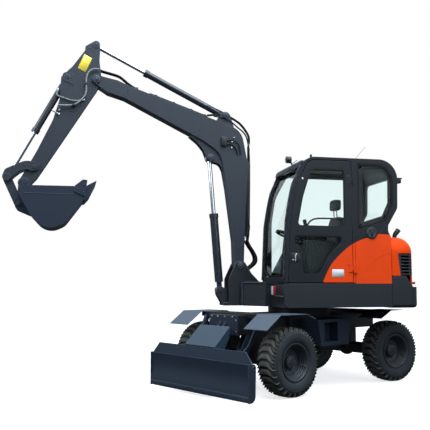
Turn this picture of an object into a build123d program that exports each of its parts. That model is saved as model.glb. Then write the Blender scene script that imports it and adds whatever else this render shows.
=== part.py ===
"""Wheeled excavator with a fixed boom, a rigid blade axle and a steered axle.

Origin: on the ground under the slewing axis. +X points to the blade end, +Y to the cab's side
of the undercarriage, +Z up. The upper structure is drawn straight ahead, in its own X and Y,
and then turned about the slewing axis by REST_SLEW. All lengths are millimetres.
"""
import math
import os

from build123d import *

os.makedirs("parts", exist_ok=True)

# Running gear
WHEELBASE = 2110
FRONT_X = WHEELBASE / 2
REAR_X = -WHEELBASE / 2
TRACK = 1560
TYRE_RADIUS = 417.5
TYRE_WIDTH = 305
TREAD_LUGS = 28
TREAD_DEPTH = 24
LUG_WIDTH = 42
LUG_FLAT = 60  # half of the straight middle
LUG_LAG = 98  # how far the shoulder ends trail the middle
SHOULDER_DROP = 14  # how much lower the lugs end at the shoulders
SIDEWALL_RADIUS = 335  # where the tyre is widest
RIM_RADIUS = 205
RIM_LIP_RADIUS = 228
RIM_WIDTH = 262
RIM_WALL = 10
LIP_THICKNESS = 11
DISC_THICKNESS = 14
DISC_OFFSET = -10
HUB_RADIUS = 82
HUB_NOSE = 62
HUB_CAP = 12
SPINDLE_RADIUS = 35
SPINDLE_REACH = 45
PIN_CLEARANCE = 0.4
RUNNING_GAP = 6
AXLE_BEAM_RADIUS = 82
DIFFERENTIAL_RADIUS = 120
BRAKE_RADIUS = 118
BRAKE_START = 560
KINGPIN_RADIUS = 22
KINGPIN_INSET = 235
KNUCKLE_RADIUS = 52
KNUCKLE_NECK_RADIUS = 66
KNUCKLE_HALF_HEIGHT = 74
YOKE_THICKNESS = 32
REST_STEER = -10
TRANSFER_BOX_LENGTH = 300
TRANSFER_BOX_BOTTOM = 330
SHAFT_RADIUS = 32

# Undercarriage
CHASSIS_LENGTH = 1080
CHASSIS_WIDTH = 680
CHASSIS_BOTTOM = 505
CHASSIS_TOP = 930
BEAM_WIDTH = 570
BEAM_BOTTOM = 715
BEAM_TOP = 962
BEAM_REACH_FRONT = FRONT_X + 350
BEAM_REACH_REAR = 275 - REAR_X
SLEW_RING_RADIUS = 430
SLEW_RING_BORE = 290
SLEW_RING_TOP = 1049.6
SIDE_BOX_REACH = 650
SIDE_BOX_TOP = 885
SIDE_BOX_BOTTOM = 540
SIDE_BOX_TOP_HALF = 342
SIDE_BOX_BOTTOM_HALF = 276
STEP_POCKET_DEPTH = 150
FENDER_THICKNESS = 8
FENDER_INSET = 240  # inner edge, from the wheel's middle
FENDER_OVERHANG = 152  # outer edge, from the wheel's middle
FENDER_TOP = 988

# Blade
BLADE_WIDTH = 1900
BLADE_FACE = FRONT_X + 808
BLADE_PIVOT = (FRONT_X + 245, 500)
BLADE_RAM_BASE = (BEAM_REACH_FRONT + 61, 752)
BLADE_RAM_EYE = (BLADE_FACE - 125, 398)
BLADE_ARM_Y = 235
BLADE_PIN_RADIUS = 22
BLADE_RAM_PIN = 16
BLADE_LUG_OUTER = 60
BLADE_RAM_BARREL = 34
BLADE_RAM_ROD = 19
BLADE_RAM_BARREL_LENGTH = 285
BLADE_RAM_ROD_START = 150
BLADE_BACK = [(-72, 586), (-60, 420), (-40, 280), (-18, 112)]  # x from the face, z
TIE_DOWN_EYE = (-75, 410)  # x from the face, z
TIE_DOWN_RADIUS = 16
END_PLATE = 16

# Upper structure
REST_SLEW = -28
DECK_BOTTOM = 1050
DECK_THICKNESS = 42
HOUSE_SIDE = 930
SKIRT_TOP = 1356
SKIRT_THICKNESS = 30
CAB_FRONT = 510
HOUSE_REAR = -962
TAIL_FRONT = -970
TAIL_SIDE = 332  # straight side behind the cab
TAIL_RADIUS = math.hypot(TAIL_SIDE - TAIL_FRONT, HOUSE_SIDE)
HOOD_RADIUS = TAIL_RADIUS - 55
BOOM_PLANE = -190
BOOM_HALF = 100
FRONT_BOX_CORNER = 826
COUNTERWEIGHT_BOTTOM = 1038
COUNTERWEIGHT_FLOOR = 1098
LOBE_TOP = 1453

# Pins of the working equipment, as (forward, up) in the plane of the boom
BOOM_FOOT = (834, 1606)
BOOM_RAM_BASE = (1098, 1258)
BOOM_RAM_EYE = (1250, 3135)
ARM_PIN = (2861, 4155)
ARM_RAM_BASE = (1022, 3752)
ARM_RAM_EYE = (2870, 4657)
BUCKET_RAM_BASE = (3253, 4177)
ROCKER_PIN = (3652, 2906)
LINK_PIN = (4004, 2753)
BUCKET_PIN = (3789, 2686)
BUCKET_LINK_PIN = (3844, 2404)

# Hydraulic cylinders
GLAND_LENGTH = 60
GLAND_RISE = 7
ROD_COLLAR = 7

# Layers across the equipment, measured from the boom's plane
EYE_HALF = 38
LUG_INNER = 38.4
LUG_OUTER = 68
ARM_HALF = 78
FORK_INNER = 82
BRACKET_INNER = 118
BRACKET_THICKNESS = 30
LINK_INNER = 38.4
LINK_OUTER = 70
ROCKER_INNER = 84
ROCKER_OUTER = 112

# Cab
CAB_RIGHT = -60
CAB_FLOOR = 1368
CAB_ROOF = 2998
CAB_WALL = 40
DOOR_REAR = -415
DOOR_GAP = 10
DOOR_THICKNESS = 38
GLASS = 6
GLASS_DEPTH = 14
GLASS_GAP = 0.4
PANEL_GAP = 6
CAB_STEP_REAR = -452
CAB_STEP_TOP = 1945
LAMP_CENTRE = (330, 600, CAB_ROOF + 7)
LAMP_RADIUS = 46
LAMP_LENGTH = 62
LAMP_POST_RADIUS = 10
BEACON_PLACE = (110, 860)

# Hinges of the door and the hood
HINGE_RADIUS = 10
HINGE_PIN = 5
DOOR_AXIS = (-430, 945)  # x, y
DOOR_HINGES = (1490, 2655)  # z of the lower end
DOOR_HINGE_HEIGHT = 118
HOOD_AXIS = (-966, 1990)  # x, z
HOOD_HINGES = (-250, 400)  # y of the middle


def outline(corners):
    """Closed flat face from rows of (across, up, corner radius)."""
    count = len(corners)
    starts, ends, middles = [], [], []
    for i, (a, b, radius) in enumerate(corners):
        here = Vector(a, b)
        back = Vector(*corners[i - 1][:2]) - here
        ahead = Vector(*corners[(i + 1) % count][:2]) - here
        turn = math.pi - math.radians(back.get_angle(ahead))
        reach = radius * math.tan(turn / 2)
        starts.append(here + back.normalized() * reach)
        ends.append(here + ahead.normalized() * reach)
        if radius:
            inward = (back.normalized() + ahead.normalized()).normalized()
            depth = radius / math.cos(turn / 2) - radius
            middles.append(here + inward * depth)
        else:
            middles.append(None)
    edges = []
    for i in range(count):
        if middles[i] is not None:
            edges.append(ThreePointArc(starts[i], middles[i], ends[i]))
        following = starts[(i + 1) % count]
        if (following - ends[i]).length > 1e-6:
            edges.append(Line(ends[i], following))
    return make_face(edges)


def side_slab(corners, low, high):
    """Slab whose outline lies in the side view, from y = low to y = high."""
    return extrude(Plane.XZ.offset(-high) * outline(corners), high - low)


def plan_slab(corners, low, high):
    """Slab whose outline lies in the plan view, from z = low to z = high."""
    return extrude(Pos(0, 0, low) * outline(corners), high - low)


def block(x_low, x_high, y_low, y_high, z_low, z_high):
    centre = Pos((x_low + x_high) / 2, (y_low + y_high) / 2, (z_low + z_high) / 2)
    return centre * Box(x_high - x_low, y_high - y_low, z_high - z_low)


def cross_pin(point, radius, low, high):
    """Cylinder along Y at point = (x, z)."""
    return Pos(point[0], (low + high) / 2, point[1]) * Rot(90, 0, 0) * Cylinder(radius, high - low)


def wheel_pin(radius, low, high):
    """Cylinder along Y at the wheels' height, at x = 0."""
    return cross_pin((0, AXLE_HEIGHT), radius, low, high)


def toward(start, end, distance):
    """The point that lies distance from start on the line to end."""
    length = math.dist(start, end)
    return tuple(s + (e - s) * distance / length for s, e in zip(start, end))


def bar(start, end, radius, plane_y):
    """Round bar in the side plane y = plane_y."""
    direction = (end[0] - start[0], 0, end[1] - start[1])
    base = Plane(origin=(start[0], plane_y, start[1]), z_dir=direction)
    return extrude(base * Circle(radius), math.dist(start, end))


def both_sides(shape):
    return shape + mirror(shape, about=Plane.XZ)


def save(name, shape, place=Pos(0, 0, 0)):
    export_step(place * shape, f"parts/{name}.step")


UPPER = Rot(0, 0, REST_SLEW)
AXLE_HEIGHT = TYRE_RADIUS
HALF_TRACK = TRACK / 2
FENDER_INNER = HALF_TRACK - FENDER_INSET
FENDER_OUTER = HALF_TRACK + FENDER_OVERHANG
KINGPIN_Y = HALF_TRACK - KINGPIN_INSET
BRAKE_END = HALF_TRACK + DISC_OFFSET - RUNNING_GAP
SPINDLE_END = HALF_TRACK + SPINDLE_REACH


def ring(inner, outer, low, high):
    """Tube along Y between two radii."""
    return cross_pin((0, 0), outer, low, high) - cross_pin((0, 0), inner, low - 1, high + 1)


def tread_point(turn, y, radius):
    """Point on the tyre at a turn in degrees, from +X up towards +Z."""
    angle = math.radians(turn)
    return Vector(radius * math.cos(angle), y, radius * math.sin(angle))


def flat_face(*corners):
    return make_face(Polyline(*corners, close=True))


def strip(row, next_row):
    """Triangles between two rows of like points."""
    faces = []
    for a, b, c, d in zip(row, row[1:], next_row[1:], next_row):
        faces += [flat_face(a, b, c), flat_face(a, c, d)]
    return faces


def tyre():
    """Tyre about the Y axis, of flat faces, with chevron lugs; one lug stands straight down."""
    pitch = 360 / TREAD_LUGS
    half = math.degrees(LUG_WIDTH / 2 / TYRE_RADIUS)
    lag = math.degrees(LUG_LAG / TYRE_RADIUS)
    crown = TYRE_RADIUS / math.cos(math.radians(half))
    floor = TYRE_RADIUS - TREAD_DEPTH
    reach = TYRE_WIDTH / 2 - 2.5
    # Across the tread: y, turn of the lug's middle, radius of its top and of the floor beside it
    shoulder = (-lag, crown - SHOULDER_DROP, floor - SHOULDER_DROP)
    middle = (0, crown, floor)
    rows = [(-reach, *shoulder), (-LUG_FLAT, *middle), (LUG_FLAT, *middle), (reach, *shoulder)]
    # From the sidewall to the bead: y, radius
    seat = RIM_WIDTH / 2 - LIP_THICKNESS - PIN_CLEARANCE
    bore = (RIM_RADIUS + PIN_CLEARANCE) / math.cos(math.radians(pitch / 2))
    wall = [(TYRE_WIDTH / 2, SIDEWALL_RADIUS), (seat, RIM_LIP_RADIUS + 10), (seat, bore)]
    faces = []
    for step in range(TREAD_LUGS):
        start = step * pitch
        low = [tread_point(start + turn - half, y, low_r) for y, turn, top_r, low_r in rows]
        low_top = [tread_point(start + turn - half, y, top_r) for y, turn, top_r, low_r in rows]
        high_top = [tread_point(start + turn + half, y, top_r) for y, turn, top_r, low_r in rows]
        high = [tread_point(start + turn + half, y, low_r) for y, turn, top_r, low_r in rows]
        following = [tread_point(start + pitch + turn - half, y, low_r) for y, turn, top_r, low_r in rows]
        for row, next_row in ((low, low_top), (low_top, high_top), (high_top, high), (high, following)):
            faces += strip(row, next_row)
        beads = []
        for side, row in ((-1, 0), (1, -1)):
            here = [tread_point(start - lag, side * y, radius) for y, radius in wall]
            there = [tread_point(start + pitch - lag, side * y, radius) for y, radius in wall]
            faces.append(flat_face(low[row], low_top[row], high_top[row], high[row]))
            faces.append(flat_face(low[row], high[row], here[0]))
            faces += strip([high[row], following[row]], [here[0], there[0]]) + strip(here, there)
            beads += [[here[-1], there[-1]]]
        faces += strip(*beads)
    return Solid(Shell(faces))


def rim():
    """Deep rim with its disc inboard and a closed hub nose; the outer side faces +Y."""
    half = RIM_WIDTH / 2
    barrel = ring(RIM_RADIUS - RIM_WALL, RIM_RADIUS, -half, half)
    lips = ring(RIM_RADIUS - RIM_WALL, RIM_LIP_RADIUS, half - LIP_THICKNESS, half)
    lips += ring(RIM_RADIUS - RIM_WALL, RIM_LIP_RADIUS, -half, LIP_THICKNESS - half)
    disc = cross_pin((0, 0), RIM_RADIUS - RIM_WALL / 2, DISC_OFFSET, DISC_OFFSET + DISC_THICKNESS)
    hub = cross_pin((0, 0), HUB_RADIUS, DISC_OFFSET, HUB_NOSE)
    bore = cross_pin((0, 0), SPINDLE_RADIUS + PIN_CLEARANCE, DISC_OFFSET - 1, HUB_NOSE - HUB_CAP)
    return barrel + lips + disc + hub - bore


def axle_end():
    """Brake housing and spindle on the left side, about the Y axis at the wheel's height."""
    brake = wheel_pin(BRAKE_RADIUS, BRAKE_START, BRAKE_END)
    return brake + wheel_pin(SPINDLE_RADIUS, BRAKE_END - 1, SPINDLE_END)


def front_axle():
    beam = wheel_pin(AXLE_BEAM_RADIUS, -BRAKE_START - 1, BRAKE_START + 1)
    beam += Pos(0, 0, AXLE_HEIGHT) * Sphere(DIFFERENTIAL_RADIUS)
    pad = block(-95, 95, 175, 285, AXLE_HEIGHT + 30, BEAM_BOTTOM)
    return Pos(FRONT_X, 0, 0) * (beam + both_sides(axle_end() + pad))


def rear_axle():
    """Beam that ends in yokes with the kingpins."""
    half = KNUCKLE_HALF_HEIGHT + PIN_CLEARANCE
    beam_end = KINGPIN_Y - KNUCKLE_RADIUS - 34
    beam = wheel_pin(AXLE_BEAM_RADIUS, -beam_end, beam_end)
    beam += Pos(0, 0, AXLE_HEIGHT) * Sphere(DIFFERENTIAL_RADIUS)
    pad = block(-70, 70, -120, 120, AXLE_HEIGHT + 60, BEAM_BOTTOM)
    arm_plan = [(-60, beam_end - 50, 0), (-50, KINGPIN_Y, 0), (50, KINGPIN_Y, 0), (60, beam_end - 50, 0)]
    yoke = None
    for low in (-half - YOKE_THICKNESS, half):
        plate = plan_slab(arm_plan, AXLE_HEIGHT + low, AXLE_HEIGHT + low + YOKE_THICKNESS)
        plate += Pos(0, KINGPIN_Y, AXLE_HEIGHT + low + YOKE_THICKNESS / 2) * Cylinder(50, YOKE_THICKNESS)
        yoke = plate if yoke is None else yoke + plate
    web = block(-62, 62, beam_end - 60, beam_end, AXLE_HEIGHT - half - YOKE_THICKNESS,
                AXLE_HEIGHT + half + YOKE_THICKNESS)
    pin = Pos(0, KINGPIN_Y, AXLE_HEIGHT) * Cylinder(KINGPIN_RADIUS, 2 * half + 2)
    return Pos(REAR_X, 0, 0) * (beam + pad + both_sides(yoke + web + pin))


def knuckle():
    """Left steering knuckle, straight ahead, about its kingpin at the rear axle."""
    body = Pos(0, KINGPIN_Y, AXLE_HEIGHT) * Cylinder(KNUCKLE_RADIUS, 2 * KNUCKLE_HALF_HEIGHT)
    neck = wheel_pin(KNUCKLE_NECK_RADIUS, KINGPIN_Y + 20, HALF_TRACK - 90)
    brake = wheel_pin(BRAKE_RADIUS, HALF_TRACK - 110, BRAKE_END)
    spindle = wheel_pin(SPINDLE_RADIUS, BRAKE_END - 1, SPINDLE_END)
    bore = Pos(0, KINGPIN_Y, AXLE_HEIGHT) * Cylinder(KINGPIN_RADIUS + PIN_CLEARANCE, 400)
    return Pos(REAR_X, 0, 0) * (body + neck + brake + spindle - bore)


def about_kingpin(side):
    """The rest steering turn of the left (+1) or right (-1) rear wheel about its kingpin."""
    there = Pos(REAR_X, side * KINGPIN_Y, 0)
    return there * Rot(0, 0, REST_STEER) * there.inverse()


def chassis_frame():
    """Centre box with the slewing tower and a beam out to each end."""
    half = CHASSIS_LENGTH / 2
    body = block(-half, half, -CHASSIS_WIDTH / 2, CHASSIS_WIDTH / 2, CHASSIS_BOTTOM, CHASSIS_TOP)
    body += block(-BEAM_REACH_REAR, BEAM_REACH_FRONT, -BEAM_WIDTH / 2, BEAM_WIDTH / 2, BEAM_BOTTOM, BEAM_TOP)
    body += Pos(0, 0, (CHASSIS_TOP + BEAM_TOP) / 2) * Cylinder(SLEW_RING_RADIUS, BEAM_TOP - CHASSIS_TOP)
    # Outriggers under the fenders: x low, x high
    for x_low, x_high in ((FRONT_X - 125, FRONT_X + 215), (REAR_X - 55, REAR_X + 155)):
        body += block(x_low, x_high, -FENDER_INNER - 60, FENDER_INNER + 60, BEAM_TOP - 40,
                      FENDER_TOP - FENDER_THICKNESS)
    return body


def blade_bracket():
    """Plates under the front beam for the blade's arms, and lugs for its ram on a face plate."""
    face = BEAM_REACH_FRONT
    plates = block(face, face + 12, -270, 270, BEAM_BOTTOM, BEAM_TOP)
    x, z = BLADE_PIVOT
    side = [
        (x - 70, z - 20, 30), (x - 140, BEAM_BOTTOM, 0), (x - 30, BEAM_BOTTOM, 0), (x + 56, z + 45, 50),
        (x + 66, z - 35, 40), (x, z - 70, 50),
    ]
    for centre in (-BLADE_ARM_Y, BLADE_ARM_Y):
        for low in (centre - 50, centre + 32):
            plates += side_slab(side, low, low + 18)
        plates += cross_pin(BLADE_PIVOT, BLADE_PIN_RADIUS, centre - 50, centre + 50)
    x, z = BLADE_RAM_BASE
    lug = [(face, z - 60, 0), (x, z - 42, 40), (x + 40, z, 30), (x + 12, z + 42, 40)]
    lug.append((face, BEAM_TOP - 62, 0))
    plates += both_sides(side_slab(lug, LUG_INNER, BLADE_LUG_OUTER))
    return plates + cross_pin(BLADE_RAM_BASE, BLADE_RAM_PIN, -LUG_INNER - 10, LUG_INNER + 10)


def drive_line():
    """Transfer box under the chassis with a shaft to each axle."""
    half = TRANSFER_BOX_LENGTH / 2
    body = block(-half, half, -140, 120, TRANSFER_BOX_BOTTOM, CHASSIS_BOTTOM)
    reach = FRONT_X - DIFFERENTIAL_RADIUS + 4
    for start, end in ((half - 1, reach), (-reach, 1 - half)):
        body += Pos((start + end) / 2, 0, AXLE_HEIGHT) * Rot(0, 90, 0) * Cylinder(SHAFT_RADIUS, end - start)
    for x in (FRONT_X, REAR_X):
        body -= Pos(x, 0, AXLE_HEIGHT) * Sphere(DIFFERENTIAL_RADIUS + 0.2)
    return body


def side_box():
    """Left box between the wheels, with its step pocket."""
    face = [
        (-SIDE_BOX_BOTTOM_HALF, SIDE_BOX_BOTTOM, 12),
        (SIDE_BOX_BOTTOM_HALF, SIDE_BOX_BOTTOM, 12),
        (SIDE_BOX_TOP_HALF, SIDE_BOX_TOP, 12),
        (-SIDE_BOX_TOP_HALF, SIDE_BOX_TOP, 12),
    ]
    pocket = [(-56, 592, 8), (218, 592, 8), (218, 845, 8), (-56, 845, 8)]
    body = side_slab(face, CHASSIS_WIDTH / 2, SIDE_BOX_REACH)
    return body - side_slab(pocket, SIDE_BOX_REACH - STEP_POCKET_DEPTH, SIDE_BOX_REACH + 1)


def bent_plate(route, thickness, low, high):
    """Plate that follows a side-view route of points, with its thickness below the route."""
    lower = [(x, z - thickness) for x, z in route]
    corners = [(x, z, 0) for x, z in route + lower[::-1]]
    return side_slab(corners, low, high)


FENDER_FRONT_ROUTE = [
    (FRONT_X + 505, 822), (FRONT_X + 270, FENDER_TOP), (FRONT_X - 190, FENDER_TOP), (FRONT_X - 350, 925),
]
FENDER_REAR_ROUTE = [(REAR_X + 415, 884), (REAR_X + 185, FENDER_TOP), (REAR_X - 95, FENDER_TOP)]


def fender(route):
    return bent_plate(route, FENDER_THICKNESS, FENDER_INNER, FENDER_OUTER)


def blade_board():
    """Curved board with its end plates, cutting edge and raised back lip."""
    half = BLADE_WIDTH / 2
    face = BLADE_FACE
    section = [
        (face - 18, 38, 0), (face + 2, 38, 0), (face, 112, 0), (face - 24, 280, 0), (face, 458, 0),
        (face - 12, 458, 0), (face - 46, 448, 0), (face - 62, 586, 0),
    ]
    section += [(face + x, z, 0) for x, z in BLADE_BACK]
    board = side_slab(section, -half, half)
    slope = 120
    for side in (-1, 1):
        cut = [(0, 0, 0), (side * slope, 0, 0), (side * slope, -130, 0)]
        corner = Plane.YZ.offset(face - 90) * Pos(side * (half - slope), 590)
        board -= extrude(corner * outline(cut[::side]), 45)
    plate = [(face, 30, 0), (face + 2, 460, 0), (face - 112, 456, 36), (face - 100, 36, 70)]
    eye_x, eye_z = TIE_DOWN_EYE
    eye = cross_pin((face + eye_x, eye_z), TIE_DOWN_RADIUS, half - END_PLATE - 1, half + 1)
    return board + both_sides(side_slab(plate, half - END_PLATE, half) - eye)


def blade_arms():
    """Two side arms, a ram lug and the posts that carry the cover."""
    x, z = BLADE_PIVOT
    face = BLADE_FACE
    arm = [
        (x - 45, z + 10, 40), (x, z + 52, 45), (x + 60, z + 30, 60), (face, 392, 0), (face, 190, 0),
        (x + 60, z - 45, 90), (x - 10, z - 52, 40),
    ]
    arms = block(BLADE_RAM_EYE[0] + 44, face, -280, 280, 180, 400)
    for centre in (-BLADE_ARM_Y, BLADE_ARM_Y):
        bore = cross_pin(BLADE_PIVOT, BLADE_PIN_RADIUS + PIN_CLEARANCE, centre - 31, centre + 31)
        arms += side_slab(arm, centre - 30, centre + 30) - bore
    x, z = BLADE_RAM_EYE
    lug = [(x - 38, z - 20, 26), (x - 20, z + 40, 34), (face, z - 20, 0), (face, z - 90, 0)]
    arms += both_sides(side_slab(lug, LUG_INNER, BLADE_LUG_OUTER))
    room = [(face + x, z, 0) for x, z in BLADE_BACK] + [(face + 90, 100, 0), (face + 90, 586, 0)]
    return arms - side_slab(room, -300, 300)


def blade_cover():
    """Sloping cover plate on two cheeks between the blade and the chassis."""
    top = (BLADE_FACE - 307, 832)
    low = (BLADE_FACE - 65, 602)
    lip, bend = [(BLADE_FACE + x, z, 0) for x, z in BLADE_BACK[:2]]
    plate = bent_plate([top, low], 10, -285, 285)
    foot = BLADE_FACE - 60
    cheek = [
        (top[0], top[1] - 10, 0), (lip[0], low[1] - 3, 0), lip, bend,
        (foot, 400, 0), (foot - 66, 400, 0), (top[0] + 4, 700, 0),
    ]
    return plate + both_sides(side_slab(cheek, 275, 285))


def ram_barrel(base, eye, radius, rod_radius, length, neck, plane_y, eye_radius, pin_radius):
    """Barrel with a cross eye on a neck at its base, bored for the rod."""
    end = toward(base, eye, length)
    body = bar(base, toward(base, eye, neck + 1), EYE_HALF - 1, plane_y)
    body += bar(toward(base, eye, neck), end, radius, plane_y)
    body += bar(toward(base, eye, length - GLAND_LENGTH), end, radius + GLAND_RISE, plane_y)
    body += cross_pin(base, eye_radius, plane_y - EYE_HALF, plane_y + EYE_HALF)
    start = toward(base, eye, eye_radius + 12)
    body -= bar(start, toward(base, eye, length + 1), rod_radius + PIN_CLEARANCE, plane_y)
    half = EYE_HALF + 1
    return body - cross_pin(base, pin_radius + PIN_CLEARANCE, plane_y - half, plane_y + half)


def ram_rod(base, eye, rod_radius, start, plane_y, eye_radius):
    """Rod that starts inside the barrel and ends in its eye."""
    body = bar(toward(base, eye, start), eye, rod_radius, plane_y)
    length = math.dist(base, eye)
    body += bar(toward(base, eye, length - eye_radius - 20), eye, rod_radius + ROD_COLLAR, plane_y)
    return body + cross_pin(eye, eye_radius, plane_y - EYE_HALF, plane_y + EYE_HALF)


def plate_pair(corners, inner, outer):
    """Two like plates on both sides of the boom's plane."""
    one = side_slab(corners, BOOM_PLANE + inner, BOOM_PLANE + outer)
    return one + side_slab(corners, BOOM_PLANE - outer, BOOM_PLANE - inner)


def pin_across(point, radius, half):
    return cross_pin(point, radius, BOOM_PLANE - half, BOOM_PLANE + half)


def offsets(pin, rows):
    """Corner rows given from a pin, as rows in the side view."""
    return [(pin[0] + a, pin[1] + b, r) for a, b, r in rows]


def boom_bracket_outline():
    foot = offsets(BOOM_FOOT, [
        (-271, -225, 0), (-160, -110, 0), (-66, 44, 40), (0, 62, 60), (64, 30, 40), (164, -186, 60),
    ])
    front = BOOM_FOOT[0] + 164
    rear = BOOM_FOOT[0] - 271
    return foot + [(front, DECK_BOTTOM, 0), (rear, DECK_BOTTOM, 0)]


def upper_frame():
    """Deck, boom bracket and the box in front of the cab."""
    top = DECK_BOTTOM + DECK_THICKNESS
    side = HOUSE_SIDE - SKIRT_THICKNESS
    frame = block(TAIL_FRONT, CAB_FRONT - 10, -side, side, DECK_BOTTOM, top)
    outer = BRACKET_INNER + BRACKET_THICKNESS
    front = BOOM_RAM_BASE[0] - 30
    frame += block(CAB_FRONT - 20, front, BOOM_PLANE - outer, BOOM_PLANE + outer, DECK_BOTTOM, top)
    frame += plate_pair(boom_bracket_outline(), BRACKET_INNER, outer)
    inner_lugs = [
        (-190, -200, 0), (-190, 10, 0), (-60, 30, 60), (0, 64, 60),
        (60, 30, 40), (50, -60, 60), (-32, -200, 0),
    ]
    frame += plate_pair(offsets(BOOM_RAM_BASE, inner_lugs), LUG_INNER, LUG_OUTER)
    frame += block(BOOM_RAM_BASE[0] - 190, BOOM_RAM_BASE[0] - 160, BOOM_PLANE - outer, BOOM_PLANE + outer,
                   DECK_BOTTOM, BOOM_RAM_BASE[1])
    frame += pin_across(BOOM_RAM_BASE, 30, LUG_OUTER + 12)
    frame += pin_across(BOOM_FOOT, 34, outer + 14)
    rear, high = CAB_FRONT - 20, SKIRT_TOP + 12
    inner = BOOM_PLANE + outer - 1
    corner = FRONT_BOX_CORNER
    front_box = [(rear, DECK_BOTTOM, 0), (corner, DECK_BOTTOM, 20), (corner, high, 45), (rear, high, 0)]
    plan = [(rear, inner, 0), (corner, inner, 0), (corner, 15, 0), (598, 350, 30), (rear, 350, 0)]
    frame += side_slab(front_box, inner, 350) & plan_slab(plan, DECK_BOTTOM, high)
    frame += block(CAB_FRONT - 40, CAB_FRONT - 10, BOOM_PLANE - outer, side, top - 1, SKIRT_TOP)
    return frame


def skirt():
    """Left side skirt."""
    corners = [
        (HOUSE_REAR, DECK_BOTTOM, 0), (CAB_FRONT, DECK_BOTTOM, 60),
        (CAB_FRONT + 4, SKIRT_TOP, 20), (HOUSE_REAR, SKIRT_TOP, 0),
    ]
    return side_slab(corners, HOUSE_SIDE - SKIRT_THICKNESS, HOUSE_SIDE)


def hood_lugs(middle, root, low):
    """Two lugs with the hood's hinge pin, rooted at x = root down to z = low."""
    x, z = HOOD_AXIS
    arm = [
        (x, z - 6, 0), (x, z + 6, 0), (root, z + 6, 0), (root, low, 0), (x + 16, low, 0), (x + 16, z - 6, 0),
    ]
    lugs = cross_pin(HOOD_AXIS, HINGE_PIN, middle - 55, middle + 55)
    for start in (middle - 56, middle + 32):
        lugs += cross_pin(HOOD_AXIS, HINGE_RADIUS, start, start + 24) + side_slab(arm, start, start + 24)
    return lugs


def hood_sleeves():
    """Sleeves and leaves on the hood that turn about the hinge pins."""
    x, z = HOOD_AXIS
    sleeves = None
    for middle in HOOD_HINGES:
        sleeve = cross_pin(HOOD_AXIS, HINGE_RADIUS, middle - 31, middle + 31)
        sleeve += block(x - 44, x, middle - 31, middle + 31, z - 16, z - 6)
        sleeve -= cross_pin(HOOD_AXIS, HINGE_PIN + PIN_CLEARANCE, middle - 32, middle + 32)
        sleeves = sleeve if sleeves is None else sleeves + sleeve
    return sleeves


def tail_plan(radius, front, side, corner):
    """Plan outline of the tail: straight sides, a round back and rounded rear corners."""
    circle = Circle(radius)
    frame = Pos((front - radius - 50) / 2, 0) * Rectangle(radius + 50 + front, 2 * side)
    face = circle & frame
    rear = face.vertices().sort_by(Axis.X)[:2]
    return fillet(rear, corner)


def counterweight():
    """Cast tail weight, hollow towards the engine, with a raised lobe at each side."""
    front = TAIL_FRONT
    plan = tail_plan(TAIL_RADIUS, front, HOUSE_SIDE, 150)
    low = COUNTERWEIGHT_BOTTOM
    cast = Pos(0, 0, low) * extrude(plan, 600)
    floor = cast.faces().sort_by(Axis.Z)[0]
    cast = fillet([e for e in floor.edges() if e.center().X < front - 5], 42)
    body = cast & block(-TAIL_RADIUS - 1, front + 1, -HOUSE_SIDE - 1, HOUSE_SIDE + 1, low, low + 272)
    lobe = [
        (front, low, 0), (front, LOBE_TOP - 23, 30), (front - 30, LOBE_TOP, 30), (-1165, LOBE_TOP, 30),
        (-1262, 1320, 0), (-1262, low, 0),
    ]
    body += both_sides(side_slab(lobe, 780, HOUSE_SIDE)) & cast
    return body - block(-1330, front + 1, -760, 760, COUNTERWEIGHT_FLOOR, 1600)


def engine_hood():
    """Rear hood shell with its grille openings, hinged along its front top edge."""
    front = TAIL_FRONT
    low, high = 1328, 1975
    outer = Pos(0, 0, low) * extrude(tail_plan(HOOD_RADIUS, front, HOUSE_SIDE - 4, 240), high - low)
    top = outer.faces().sort_by(Axis.Z)[-1]
    rim_edges = [e for e in top.edges() if e.center().X < front - 5]
    outer = fillet(rim_edges, 205)
    room_plan = tail_plan(HOOD_RADIUS - 26, front + 1, HOUSE_SIDE - 30, 215)
    inner = Pos(0, 0, low - 1) * extrude(room_plan, high - low - 25)
    inner_top = inner.faces().sort_by(Axis.Z)[-1]
    inner = fillet([e for e in inner_top.edges() if e.center().X < front - 5], 180)
    shell = outer - inner
    lobe_room = block(-1270, front + 1, -HOUSE_SIDE - 1, HOUSE_SIDE + 1, low - 1, LOBE_TOP + RUNNING_GAP)
    window = extrude(Plane.XZ.offset(-HOUSE_SIDE - 10) * outline(GRILLE_WINDOW), 330)
    return shell - lobe_room - both_sides(window) + hood_sleeves()


GRILLE_WINDOW = [(-1058, 1752, 15), (-1300, 1752, 15), (-1325, 1460, 15), (-1090, 1460, 15)]
GRILLE_SLATS = 7


def grille():
    """Slats that follow the hood's corner inside its openings, joined by posts."""
    band = tail_plan(HOOD_RADIUS - 6, TAIL_FRONT, HOUSE_SIDE - 10, 235)
    band -= tail_plan(HOOD_RADIUS - 60, TAIL_FRONT, HOUSE_SIDE - 64, 180)
    room = extrude(Plane.XZ.offset(-HOUSE_SIDE) * offset(outline(GRILLE_WINDOW), -0.3), 300)
    column = (Pos(0, 0, 1300) * extrude(band, 500)) & room
    bars = block(-1100, -1082, 850, 925, 1461, 1751) + block(-1262, -1244, 700, 925, 1461, 1751)
    for row in range(GRILLE_SLATS):
        high = 1738 - 42 * row
        bars += block(-1340, -1040, 600, HOUSE_SIDE, high - 14, high)
    return both_sides(bars & column)


CAB_SIDE = [
    (CAB_FRONT, CAB_FLOOR, 0),
    (474, 2150, 1500),
    (392, 2600, 700),
    (207, CAB_ROOF, 200),
    (-1085, CAB_ROOF, 260),
    (-1068, 2350, 120),
    (-930, 2120, 80),
    (-930, CAB_STEP_TOP, 0),
    (CAB_STEP_REAR, CAB_STEP_TOP, 0),
    (CAB_STEP_REAR, CAB_FLOOR, 0),
]

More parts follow.
